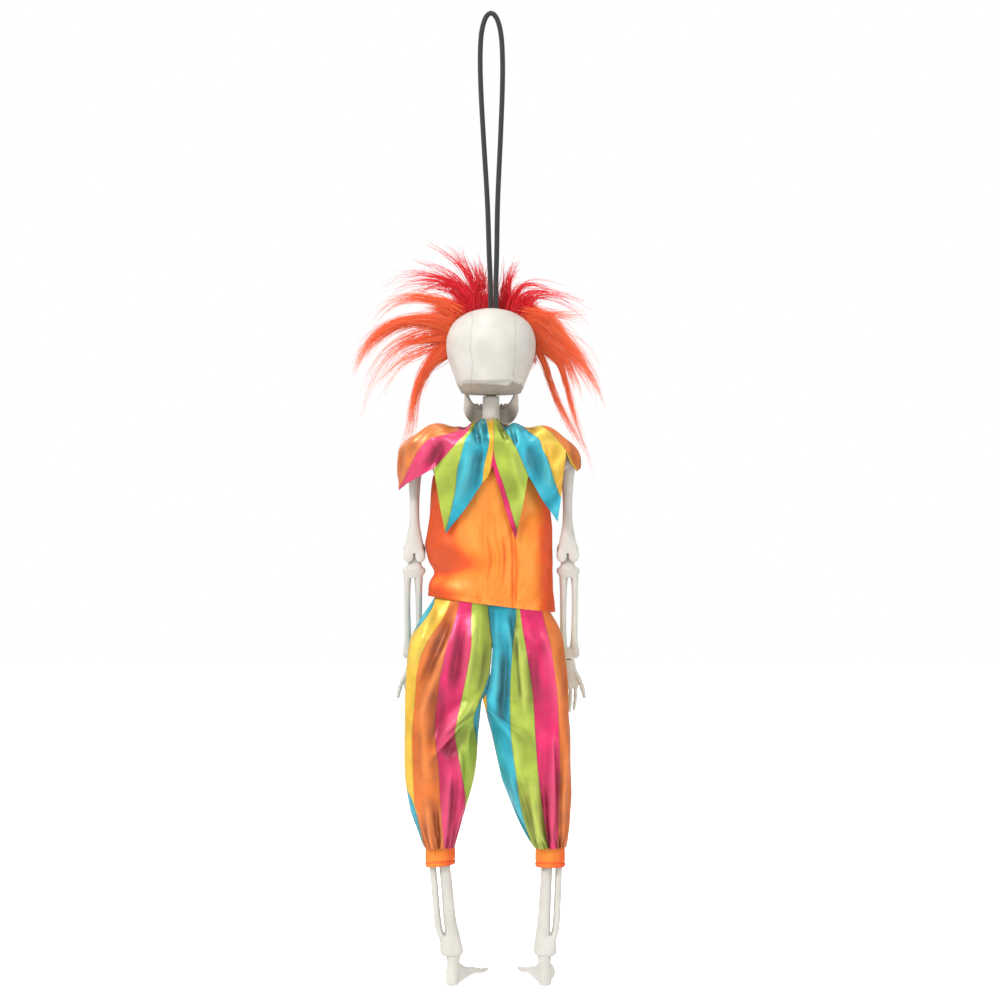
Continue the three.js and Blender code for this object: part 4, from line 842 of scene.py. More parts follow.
def skull_halves():
    """The skull is melted from its surface, upper jaw and teeth, hollowed by the same surface
    drawn in, bored for cord, neck and jaw, and parted on the mould line ahead of the neck."""
    gums = ovals([
        (SKULL_BASE + 3.6, 0, -23.8, 9.0, 6.9, 6), (SKULL_BASE + 7, 0, -23.8, 10.4, 7.8, 7),
        (SKULL_BASE + 12, 0, -23, 9, 6.4, 7), (SKULL_BASE + 15, 0, -22, 7, 5.4, 7),
    ], 24, 36)
    arches = [
        tube([
            (s * 13.5, -24.5, EYE_Z - 8.5), (s * 19.6, -20, EYE_Z - 8), (s * 20.6, -13, EYE_Z - 6.5),
            (s * 19.4, -6, EYE_Z - 5),
        ], 1.9, 1.4, 16)
        for s in (1, -1)
    ]
    forms = [skull_surface(), gums, *arches, *teeth(-31.0, SKULL_BASE + 4.2, -0.4)]
    whole = fused("skull", forms, 0.42, 2)
    carved(whole, skull_surface(2.2, 70, 90))
    carved(
        whole, tube([(-1.4, 1, CROWN - 7), (-1.4, 1, CROWN), (-1.4, 1, CROWN + 7)], 3.9, 2.3, 20, (0, 1, 0))
    )
    carved(whole, tube([(0, 0, SKULL_BASE - 3), (0, 0, SKULL_BASE), (0, 0, SKULL_BASE + 4)], 5.6, sides=36))
    for s in (1, -1):
        nostril = egg((0, 0, 0), (1.9, 9, 4.6), 20, 24)
        nostril = nostril @ np.array([[0.97, 0, s * 0.24], [0, 1, 0], [-s * 0.24, 0, 0.97]])
        carved(whole, nostril + np.array([s * 2.0, -31, EYE_Z - 9.0]))
    far = 60  # past the skull on every side
    halves = []
    for name, low, high in (
        ("skull_back", (-far, -8.87, SKULL_BASE - far), (far, far, CROWN + far)),
        ("skull_face", (-far, -far, SKULL_BASE - far), (far, -9.13, CROWN + far)),
    ):
        halves.append(carved(copy_of(whole, name), slab(low, high), keep=True))
    bpy.data.objects.remove(whole)
    carved(halves[1], slab((-16.3, -22, SKULL_BASE - 5), (16.3, -8.5, SKULL_BASE + 10)))
    return halves


def jaw():
    """The jaw is a bar along a horseshoe, thin and tall, with two rami up to the hinge and a row
    of teeth on its front."""
    chin = SKULL_BASE - 17.7
    arch = through([
        (14.6, -14.2, SKULL_BASE + 5), (14.5, -13.8, SKULL_BASE - 1), (13.0, -14.0, chin + 11.5),
        (11.0, -17.0, chin + 7), (8.6, -22.4, chin + 5.6), (4.6, -25.8, chin + 5.3),
        (0, -26.6, chin + 5.2), (-4.6, -25.8, chin + 5.3), (-8.6, -22.4, chin + 5.6),
        (-11.0, -17.0, chin + 7), (-13.0, -14.0, chin + 11.5), (-14.5, -13.8, SKULL_BASE - 1),
        (-14.6, -14.2, SKULL_BASE + 5),
    ], 110)
    t = np.abs(np.linspace(-1, 1, 110))
    # Across a level run the bar is upright, and up a ramus it is deep from front to back
    body = tube(arch, 1.35, 5.0 - 1.6 * ease(t, 0.5, 0.75), 26, (0.02, 0.35, 1))
    stud = ((0, -1.6), (2.2, -1.5), (2.4, 0), (1.5, 0.7), (1.3, 1.2), (1.3, 3.2), (0, 3.3))
    hinges = [
        turned([(r, s * d) for r, d in stud], "x", (s * 14.8, -15, SKULL_BASE + 6), 30, 24) for s in (1, -1)
    ]
    chin_lump = egg((0, -26.4, chin + 3.2), (5, 2.2, 3.4))
    return fused("jaw", [body, *hinges, chin_lump, *teeth(-26.2, chin + 9.6, 1, 9.6, 9, 5.2)], 0.32, 3)


# The cord


def loop_route():
    """The cord's middle line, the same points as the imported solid's: up from inside the crown,
    round the loop and down beside itself."""
    half, drop, wide = 1.62, -CROWN, 6.6
    rise = [(-half, CROWN - 4), (-half, CROWN + 14), (-half - 0.6, CROWN + 32), (-wide * 0.46, CROWN * 0.636),
            (-wide * 0.76, CROWN * 0.416), (-wide * 0.95, CROWN * 0.26), (-wide, CROWN * 0.15),
            (-wide * 0.88, CROWN * 0.064), (-wide * 0.52, CROWN * 0.01)]
    left = [(-1.4 * -z / drop + x, 1.0, z) for x, z in rise]
    right = [(-1.4 * -z / drop - x, 1.0, z) for x, z in rise][::-1]
    return through([*left, (0, 1.0, 1.5), *right], 240)


def hanging_cord():
    """The cord: a circle carried along its route, with its ends inside the crown."""
    route = loop_route()
    rings = tube(route, 1.5, sides=14)
    steps = np.concatenate([[0], np.cumsum(np.linalg.norm(np.diff(route, axis=0), axis=1))])
    points, quads, fans = closed_skin(rings)
    u, v = np.meshgrid(np.linspace(0, 9.4, 14), steps)  # the cord is 9.4 mm round
    uv = np.concatenate([np.stack([u, v], -1).reshape(-1, 2), [[0, 0], [0, steps[-1]]]])
    cord = mesh_piece("hanging_cord", points, quads, fans, uv)
    return cord


def cord_knot():
    """A knot of the same cord inside the skull: a line that winds three times round a ring
    while it goes round it twice."""
    t = np.linspace(0, 2 * np.pi, 120)
    around = 3.1 * (2 + np.cos(3 * t)) * 0.5
    path = np.stack(
        [-1.4 + around * np.cos(2 * t), 1 + around * np.sin(2 * t), CROWN - 7.1 + 3.1 * np.sin(3 * t) * 0.5],
        -1
    )
    return mesh_piece("cord_knot", *closed_skin(tube(path[:-1], 1.05, sides=10, reference=(0, 0.02, 1))))


# Cloth


def grid_normals(grid, wrap):
    """The normal at each point of a grid whose rows go down and whose columns go round to the
    left seen from above: the step down its column crossed with the step along its row."""
    if wrap:
        across = np.roll(grid, -1, 1) - np.roll(grid, 1, 1)
    else:
        across = np.gradient(grid, axis=1)
    return unit(np.cross(np.gradient(grid, axis=0), across))


def evened(field, wrap, rounds):
    """A grid of vectors, each made the mean of itself and its neighbours, over and over."""
    for _ in range(rounds):
        ends = field[:, :1], field[:, -1:]
        beside = np.concatenate([ends[1] if wrap else ends[0], field, ends[0] if wrap else ends[1]], 1)
        field = (beside[:, :-2] + beside[:, 1:-1] + beside[:, 2:]) / 3
        above = np.concatenate([field[:1], field, field[-1:]])
        field = (above[:-2] + above[1:-1] + above[2:]) / 3
    return field


def raised(grid, height, wrap):
    """The grid moved out along its normals by a height in millimetres at each point."""
    return grid + grid_normals(grid, wrap) * height[..., None]


def sewn(name, grid, wrap, values=None, keep=None, rows=slice(None), wall=None, rounds=90):
    """Cloth as a thin closed skin: the grid outside, the same grid drawn in by the cloth's
    thickness, and a strip joining the two along every open edge. Its shading follows the whole
    grid, also where only some of the rows or quads are kept, so that pieces meet without a line."""
    wall = bpy.context.scene.doll_sizes.cloth_thickness * 1000 if wall is None else wall
    normal = grid_normals(grid, wrap)
    # How far the cloth leans off its broad shape, and how far it stands over it in millimetres, which paint
    # shade and highlights on the satin
    lean = np.linalg.norm(normal - unit(evened(normal, wrap, rounds)), axis=-1)
    relief = ((grid - evened(grid, wrap, rounds)) * normal).sum(-1)
    values = {**(values or {}), "lean": lean, "relief": relief}
    across = np.linalg.norm(np.diff(grid, axis=1, prepend=grid[:, :1]), axis=2).cumsum(1)
    down = np.linalg.norm(np.diff(grid, axis=0, prepend=grid[:1]), axis=2).cumsum(0)
    uv = np.stack([across, down], -1)
    grid, normal, uv = grid[rows], normal[rows], uv[rows]
    count, cols = grid.shape[:2]
    quads = grid_faces(count, cols, wrap)[:, ::-1]
    if keep is not None:
        quads = quads[keep[rows][:-1].ravel()]
    edges = np.concatenate([quads[:, [i, (i + 1) % 4]] for i in range(4)])
    total = count * cols
    there = edges[:, 0].astype(np.int64) * total + edges[:, 1]
    back = edges[:, 1].astype(np.int64) * total + edges[:, 0]
    a, b = edges[~np.isin(there, back)].T
    strip = np.stack([b, a, a + total, b + total], -1)
    points = np.concatenate([grid.reshape(-1, 3), (grid - normal * wall).reshape(-1, 3)])
    faces = np.concatenate([quads, quads[:, ::-1] + total, strip])
    used = np.unique(faces)
    short = np.zeros(2 * total, int)
    short[used] = np.arange(len(used))

    def twice(v):
        """Values of the outer points, and the same for the inner ones."""
        return np.concatenate([v, v])[used]

    normals = np.concatenate([normal.reshape(-1, 3), -normal.reshape(-1, 3)])[used]
    numbers = {key: twice(np.asarray(v)[rows].ravel()) for key, v in values.items()}
    return mesh_piece(name, points[used], short[faces], None, twice(uv.reshape(-1, 2)), numbers, normals)


def crease(grid, a, b, width, height, sharp=1.0):
    """A fold's height over a grid: a bell across the line between two pixel places seen from
    behind, which fades at the line's ends. Where sharp is over 1, the lower side is steeper."""
    (ax, az), (bx, bz) = seen(*a), seen(*b)
    run = np.array([bx - ax, bz - az])
    size = np.hypot(*run)
    x, z = grid[..., 0] - ax, grid[..., 2] - az
    along = (x * run[0] + z * run[1]) / size
    off = (x * run[1] - z * run[0]) / size
    off = off * np.sign(run[0] if abs(run[0]) > 1 else 1)
    ends = bump(np.clip(np.abs(along - size / 2) / (size / 2) - 0.35, 0, None) / 0.9)
    fall = np.where(off > 0, off * sharp, off) / width
    return height * ends * bump(fall)


def ripples(turn, rng, low, high, count):
    """Uneven waves round a garment: a few cosines of whole numbers of turns, seeded."""
    waves = rng.integers(low, high, count)
    starts = rng.uniform(0, 2 * np.pi, count)
    sizes = rng.uniform(0.5, 1.0, count)
    return sum(s * np.cos(w * turn + p) for w, p, s in zip(waves, starts, sizes)) / sizes.sum()


def stripe_value(grid, table):
    """A number at each point of a grid that passes a whole number where one strip of satin ends
    and the next begins. A row of the table is a pixel height and the boundaries' pixel places."""
    heights = -seen(0, [row[0] for row in table])[1]
    places = np.array([seen(row[1], 0)[0] for row in table])
    z, x = grid[..., 2], grid[..., 0]
    share = np.interp(-z.ravel(), heights, np.linspace(0, 1, len(heights)))
    step = np.sign(places[0, -1] - places[0, 0])
    lines = step * np.maximum.accumulate(step * through(places, 0, share), axis=1).reshape(*z.shape, -1)
    numbers = np.array(STRIPE_NUMBERS[places.shape[1]], float)
    value = np.full(z.shape, numbers[0])
    for i in range(len(numbers) - 1):
        width = np.where(
            np.abs(lines[..., i + 1] - lines[..., i]) < 1e-3, step * 1e-3, lines[..., i + 1] - lines[..., i]
        )
        share = np.clip((x - lines[..., i]) / width, 0, 1)
        value = value + share * (numbers[i + 1] - numbers[i])
    return value


# Shirt

SHIRT_ROWS = [
    # down, middle, half width, depth to the front, depth to the back
    (0, 0, 12.5, 9, 10), (2, 0, 23, 13.5, 14), (7, -0.2, 31, 17, 17.6), (20, -0.2, 34, 19.2, 19.4),
    (32, 0.1, 34.6, 19.4, 19.7), (44, 0.5, 35.4, 19.6, 20), (56, 0.7, 36.2, 20, 20.3),
    (68, 0.8, 36.8, 20.2, 20.6), (84, 0, 36.2, 20.6, 21), (97.5, -0.2, 37.4, 21.2, 21.8),
]
SHIRT_DOWN = [row[0] for row in SHIRT_ROWS]
SHIRT_LONG = 97.5  # from the neck to the hem, in millimetres
SHIRT_FOLDS = [
    # ends of the fold as pixels, its width and height in millimetres, how sharp its lower side is
    ((434, 480), (452, 530), 12, 1.5, 1.4),
    ((424, 543), (478, 557), 17, 3.0, 2.4),
    ((432, 576), (476, 577), 8, -1.8, 1.0),
    ((479, 490), (480, 604), 2.5, 0.5, 1.0),
    ((487, 470), (484, 600), 3.5, -0.5, 1.0),
    ((497, 500), (494, 604), 3.5, 0.5, 1.0),
    ((507, 540), (503, 604), 3, -0.4, 1.0),
    ((513, 530), (514, 606), 1.6, -0.8, 1.0),
    ((531, 500), (536, 590), 10, 1.5, 1.0),
    ((456, 500), (462, 545), 7, 1.3, 1.2),
    ((500, 520), (503, 590), 5, 0.9, 1.4),
    ((520, 545), (528, 600), 10, 1.6, 1.2),
    ((548, 520), (530, 556), 12, 1.4, 1.6),
    ((553, 560), (545, 606), 7, -1.4, 1.0),
    ((536, 500), (512, 540), 7, -0.9, 1.0),
]
CLOSURE_LINES = ((479.6, 0.5), (514.6, 0.4))  # pixel place and depth of the two stitched lines


def shirt_surface(inset=0.0, rows=150, cols=320):
    """Level ovals from the neck down to a hem that slopes, with soft folds, long wrinkles down the
    closure in the middle of the back, and a stitched hem. With an inset it is drawn in all round
    and left smooth."""
    down = np.linspace(0, SHIRT_LONG, rows)
    share = np.interp(down, SHIRT_DOWN, np.arange(len(SHIRT_DOWN))) / (len(SHIRT_DOWN) - 1)
    _, middle, wide, front, back = through(SHIRT_ROWS, 0, share).T[:, :, None]
    deep = down[:, None]
    turn = around(cols)
    c, s = np.cos(turn), np.sin(turn)
    x = (wide - inset) * c
    y = np.where(s > 0, back - inset, front - inset) * s
    x = x - 2.9 * ease(c, 0.55, 0.95) * bump((deep - 81) / 8)
    z = NECK_FOOT - 0.3 - deep + 0.128 * (deep / SHIRT_LONG) ** 3 * x
    grid = stacked(middle + x, y, z)
    if inset:
        return grid
    rng = np.random.default_rng(SEED)
    behind = s > 0
    height = 0.9 * ripples(turn, rng, 3, 9, 4) * ease(deep, 15, 60)
    height = height + 0.4 * ripples(turn + 0.02 * deep, rng, 14, 30, 6) * (0.25 + 0.75 * ease(deep, 70, 97))
    for fold in SHIRT_FOLDS:
        height += behind * crease(grid, *fold)
    across = grid[..., 0]
    for line, size in CLOSURE_LINES:
        off = (across - seen(line, 0)[0] - 0.5 * np.sin(deep / 7)) / 1.5
        height -= behind * size * bump(off) * ease(deep, 20, 45)
    puckers = np.cos(across * 1.15 + np.sin(deep / 5) * 1.4) * bump((across + 3) / 14)
    height += behind * 0.28 * puckers * (0.5 + 0.5 * np.sin(deep / 9)) * ease(deep, 25, 60)
    height -= 0.16 * bump((deep - 94.5) / 1.2)
    return raised(grid, height, True)


def shirt():
    """The shirt, with its armholes cut out. Its colour is deeper with painted shade at the sides and in the
    big fold low on the left of the back, and lighter with painted light on the swell under that fold."""
    grid = shirt_surface()
    x, y, z = grid[..., 0], grid[..., 1], grid[..., 2]
    # Painted shade in the big fold and painted light on the swell under it.
    shaded_fold_x, shaded_fold_z = seen(452, 560)
    fold = bump(np.hypot((x - shaded_fold_x) / 25, (z - shaded_fold_z - 0.16 * (x - shaded_fold_x)) / 11))
    lit_swell_x, lit_swell_z = seen(442, 580)
    swell = bump(np.hypot((x - lit_swell_x) / 20, (z - lit_swell_z) / 9))
    # Painted shade at both sides of the shirt.
    sides = 0.95 * ease(x, 13, 30) + 0.9 * ease(-x, 22, 35)
    deep = sides + ease(y, -4, 8) * (1.1 * fold - 0.6 * swell)
    piece = sewn("satin_shirt", grid, True, {"deep": np.clip(deep, 0, 1)}, rounds=53)
    for side in SIDES.values():
        armhole = [(side * out, -3, SHOULDER) for out in (25, 36, 47)]
        carved(piece, tube(armhole, 11, sides=64))
    return piece


# Collar

COLLAR_EDGE = [
    # turn from the doll's left side over its back, and how far under the shoulder axis the edge hangs
    (-14, 0), (8, 17.7), (59.4, 5), (68.5, 43.2), (88.1, 13.4), (90.3, 3.5), (92.2, 17), (99.4, 46.6),
    (107, 9.4), (130.9, 36.3), (140.3, -3), (160, 6.9), (188, 0), (210, 6), (234, 1), (251, 38),
    (270, 4), (289, 38), (306, -3), (328, 2),
]
COLLAR_FOLDS = [
    # ends of the fold as pixels, its width and height in millimetres
    ((473, 424), (479, 446), 2.6, -1.7),
    ((479, 421), (484, 440), 2.2, 1.4),
    ((484, 424), (486, 446), 2.0, -1.5),
    ((499, 424), (507, 442), 2.4, -1.6),
    ((512, 428), (516, 446), 2.4, -1.6),
    ((506, 424), (511, 440), 2.2, 1.2),
    ((440, 440), (420, 462), 6, 1.6),
    ((446, 444), (430, 470), 4, -1.4),
    ((470, 450), (458, 500), 5, 1.4),
    ((480, 450), (472, 492), 4, -1.2),
    ((510, 450), (522, 500), 5, 1.3),
    ((526, 440), (540, 490), 5, -1.4),
    ((540, 446), (552, 490), 4, 1.3),
]
COLLAR_REACH = {"left": 54.6, "right": 52.8, "depth": 23.0}  # its half sizes seen from above
COLLAR_NECK = 6.0  # its half width where it is gathered
COLLAR_ARC = 30.0  # the length of a spoke's round part
COLLAR_TABLE = [
    # pixel height; far left, orange|magenta, magenta|lime, lime|turquoise, turquoise|yellow, centre
    # edge, its trim twice, lime|turquoise, turquoise|yellow, yellow|orange, far right
    (420, (380, 462, 474, 478, 486, 493.1, 493.2, 493.3, 500, 516, 531, 600)),
    (432, (380, 457, 469, 472, 488.5, 493.4, 493.5, 493.6, 505, 528, 548, 600)),
    (440, (380, 430, 461, 466, 489.6, 493.7, 493.8, 493.9, 511, 538.5, 556, 600)),
    (450, (380, 420, 452, 463, 488.2, 493.5, 493.6, 493.7, 516.5, 542, 564, 600)),
    (460, (380, 414, 443, 460.5, 485.8, 492, 492.1, 495, 521, 547, 571, 600)),
    (470, (380, 409, 433, 458, 483.8, 490.5, 490.6, 498, 525.4, 550.4, 577, 600)),
    (485, (380, 401, 420, 456.6, 482, 490, 490.1, 503.2, 532, 555, 585, 600)),
    (500, (380, 394, 405, 454, 474, 489, 489.1, 508, 540, 562, 592, 600)),
    (535, (380, 384, 388, 445.5, 462, 488, 488.1, 518, 556, 580, 596, 600)),
]
STRIPE_NUMBERS = {
    # For a table with so many boundaries, the strip number that each boundary stands for
    12: (1.05, 2, 3, 4, 5, 6, 7, 8, 9, 10, 11, 11.95),
    7: (-0.95, 0, 1, 2, 3, 4, 4.95),
}


def collar_surface(rows=90, per_edge=28):
    """Spokes from the gathered neck over the shoulders and down to a pointed edge. A spoke is a
    quarter of an oval, then a straight fall. Each point of the edge is a spoke of its own."""
    turns = [a for a, _ in COLLAR_EDGE] + [COLLAR_EDGE[0][0] + 360]
    drops = [d for _, d in COLLAR_EDGE] + [COLLAR_EDGE[0][1]]

    def plan(t):
        """A heading's place on a squared circle seen from above."""
        return squared(np.cos(t), 2 / 0.72), squared(np.sin(t), 2 / 0.72)

    def reach(c):
        """The collar's half width on the cosine's side."""
        return np.where(c > 0, COLLAR_REACH["left"], COLLAR_REACH["right"])

    # Spokes are spread evenly along the outline seen from above, so that the edge's sides are straight
    fine = np.linspace(turns[0], turns[-1], 4000)
    fine_c, fine_s = plan(np.radians(fine))
    outline = np.stack([fine_c * reach(fine_c), fine_s * COLLAR_REACH["depth"]], -1)
    walked = np.concatenate([[0], np.cumsum(np.linalg.norm(np.diff(outline, axis=0), axis=1))])
    spots = np.linspace(0, len(COLLAR_EDGE), per_edge * len(COLLAR_EDGE), endpoint=False)
    at = np.interp(spots, np.arange(len(turns)), np.interp(turns, fine, walked))
    turn = np.interp(at, walked, fine)
    bow = np.sin(np.pi * (spots % 1)) ** 2 * 1.3
    edge = SHOULDER - np.interp(spots, np.arange(len(turns)), drops) - bow
    t = np.radians(turn)
    c, s = plan(t)
    roll = 13 + (np.where(c > 0, 16, 21) - 13) * c * c
    neck_z = SKULL_BASE - 15.6 - 2.5 * (1 - s)
    stop = np.arccos(np.clip(1 - (neck_z - edge) / roll, 0, 1))
    fall = np.maximum(neck_z - roll * (1 - np.cos(stop)) - edge, 0)
    v = np.linspace(0, 1, rows)[:, None] ** 0.9 * (COLLAR_ARC + fall)
    bend = stop * np.clip(v / COLLAR_ARC, 0, 1)
    out = np.sin(bend)
    x = (COLLAR_NECK + (reach(c) - COLLAR_NECK) * out) * c
    y = (COLLAR_NECK + (COLLAR_REACH["depth"] - COLLAR_NECK) * out) * s
    z = neck_z - roll * (1 - np.cos(bend)) - np.clip(v - COLLAR_ARC, 0, None)
    grid = np.stack([x, y, z], -1)
    rng = np.random.default_rng(SEED + 1)
    angle = t[None]
    height = 1.3 * np.exp(-((v / 9) ** 2)) * ripples(angle, rng, 16, 34, 7)
    height += 1.8 * ripples(angle, rng, 5, 12, 5) * ease(v, 6, 22) * (1 - 0.5 * ease(v, 30, 60))
    height += 1.0 * ripples(angle + v * 0.02, rng, 9, 22, 5) * ease(v, 8, 30)
    for fold in COLLAR_FOLDS:
        height += (s > 0.1) * crease(grid, *fold)
    grid = raised(grid, height, True)
    # The cloth puffs over the shoulders and sinks beside the neck, and its neck edge is frayed up
    x = grid[..., 0]
    puff = 2.6 * bump((np.abs(x) - 34) / 13) - 1.8 * bump((np.abs(x) - 21) / 8)
    frill = 1.2 * np.exp(-((v / 2.4) ** 2)) * ripples(angle, rng, 9, 26, 5)
    dips = (
        1.0 * bump(x / 9) - 3.4 * bump((x + 8.5) / 5) - 1.6 * bump((x - 8) / 2.6)
        - 2.6 * bump((x - 15) / 4.5)
    )
    grid[..., 2] += (1 - ease(v, 26, 40)) * puff + frill + dips * (1 - ease(v, 9, 20)) * (s[None] > 0)
    return grid, turn


def collar():
    """The collar is cut on the body's middle plane into two pieces that share their shading. Its
    strips behind follow the photograph, and ahead they go on round it, 22 degrees each."""
    grid, turn = collar_surface()
    back = np.sin(np.radians(turn))[None] > 0
    ahead_by = np.degrees(np.arcsin(np.clip(-np.sin(np.radians(turn)), 0, 1)))[None] / 22
    ahead = np.where(grid[..., 0] > 0, 1.9 - ahead_by, 11.1 + ahead_by)
    values = {"stripe": np.where(back, stripe_value(grid, COLLAR_TABLE), ahead)}
    midway = np.cos(np.radians(turn + np.diff(turn, append=turn[0] + 360) / 2))
    return [
        sewn(f"{name}_satin_collar", grid, True, values, np.broadcast_to(side * midway > 0, grid.shape[:2]))
        for name, side in SIDES.items()
    ]


# Trousers

SEAT_ROWS = [
    # height above the hips, left and right edge, depth to the front and to the back, sweep of the sides
    (25, 33.2, 32.6, 18.4, 16.6, 0), (17, 38.4, 34.8, 18.8, 17.2, 2), (9, 43, 39.4, 19.2, 18.8, 4.5),
    (1, 46.8, 42.2, 18.8, 20.4, 7), (-9, 48.8, 43.2, 17.6, 20.8, 8.5), (-21, 49.9, 44.4, 16, 19.6, 9),
    (-34, 50.5, 45.4, 15, 17.6, 9),
]
LEG_ROWS = {
    # height below the hips, inner and outer edge, depth to the front and to the back, sweep back
    "left": [
        (34, 5.2, 50.5, 15, 17.6, 9), (54, 7.7, 50.7, 16, 17.5, 6), (82, 10, 50.4, 16.5, 17, 3),
        (100.5, 15.3, 47.2, 15, 15.5, 1), (110, 18.3, 43.6, 12.5, 13, 0), (122, 22, 39.4, 8, 8.4, 0),
    ],
    "right": [
        (34, -4.8, 45.4, 15, 17.6, 9), (54, 0, 46.6, 16, 17.5, 6), (82, 6, 46.8, 16.5, 17, 3),
        (94, 11.2, 46.8, 16, 16.5, 2), (108, 17.7, 46, 12.5, 13, 0), (122, 25.6, 43.8, 8, 8.4, 0),
    ],
}
CROTCH_DOWN, LEG_END = 34.0, 122.0  # under the hips
SEAM_DOWN, SEAM_X = (-25, -17, 2.5, 20, 28, 34), (1.5, 1.4, -1.0, 0.4, 2.2, 5.0)  # the middle seam
LEG_SPLIT = -440.0  # the height where a leg's top meets its bottom
LEG_TABLE = {
    # pixel height; far left, then the ends of the strips from left to right, far right
    "left": [
        (590, (370, 437, 452, 461, 473, 496, 520)), (611, (370, 430.5, 446.6, 457.3, 471.6, 496, 520)),
        (644, (370, 405, 426, 447.5, 471.6, 491.6, 520)),
        (670, (370, 400, 418, 441.5, 467.5, 489.4, 520)),
        (690, (370, 398, 416.3, 438.6, 463.4, 483, 520)), (716, (370, 397, 414, 436, 458, 474, 520)),
        (733, (370, 396, 412.7, 435.9, 455.5, 476, 520)),
        (769, (370, 400, 413.6, 439.5, 461.8, 480, 520)),
        (804, (370, 415.4, 415.6, 441.3, 465.4, 484, 520)),
        (850, (370, 425.2, 425.4, 445, 456, 470, 520)),
    ],
    "right": [
        (590, (450, 470, 514.5, 518, 539, 561, 620)), (611, (450, 470, 516.3, 519.8, 542.1, 566, 620)),
        (644, (450, 472, 512.7, 525.2, 550.2, 572, 620)), (690, (450, 486, 510, 532.3, 556.4, 578, 620)),
        (733, (450, 488, 510.9, 535, 558.6, 580, 620)), (769, (450, 496, 515.4, 537.7, 559.1, 580, 620)),
        (804, (450, 505, 520.7, 542, 558.2, 577, 620)), (850, (450, 521, 533, 549, 557.3, 572, 620)),
    ],
}
LEG_FOLDS = {
    "left": [
        # ends of the fold, its width and height in millimetres, and how sharp its lower side is
        ((486, 690), (436, 750), 10, 4.2, 3.0), ((470, 724), (448, 756), 6, -2.2, 1.0),
        ((436, 605), (414, 664), 9, 3.0, 2.2), ((452, 612), (424, 684), 5, -2.6, 1.0),
        ((478, 612), (466, 690), 7, 2.2, 1.8), ((463, 620), (452, 690), 4, -1.6, 1.0),
        ((424, 700), (426, 790), 8, 1.6, 1.4), ((448, 775), (444, 845), 5, 1.6, 1.2),
        ((428, 790), (434, 850), 4, 1.4, 1.2), ((440, 690), (436, 745), 6, -1.3, 1.0),
        ((436, 800), (440, 850), 2.5, -1.3, 1.0), ((456, 770), (452, 836), 4, -1.2, 1.0),
        ((486, 640), (478, 692), 3.5, -1.8, 1.0), ((497, 612), (490, 690), 4, -3.0, 1.0),
        ((446, 640), (420, 720), 7, 1.8, 1.4),
    ],
    "right": [
        ((496, 612), (494, 700), 6, 2.4, 1.6), ((506, 640), (503, 720), 3.5, -2.2, 1.0),
        ((518, 640), (524, 704), 7, 2.6, 2.6), ((512, 610), (516, 660), 3, -1.6, 1.0),
        ((532, 640), (534, 700), 5, -1.2, 1.0), ((545, 620), (560, 720), 9, 1.6, 1.4),
        ((552, 740), (552, 848), 5, 2.2, 1.8), ((542, 780), (549, 850), 3.5, -1.8, 1.0),
        ((530, 780), (541, 850), 5, 1.8, 1.5), ((563, 730), (564, 840), 6, 1.6, 1.3),
        ((559, 760), (558, 848), 2.5, -1.6, 1.0), ((500, 735), (524, 815), 7, 1.4, 1.5),
        ((512, 760), (532, 835), 3.5, -1.2, 1.0), ((568, 640), (570, 760), 6, -1.0, 1.0),
        ((494, 612), (489, 690), 4, -2.4, 1.0),
    ],
}


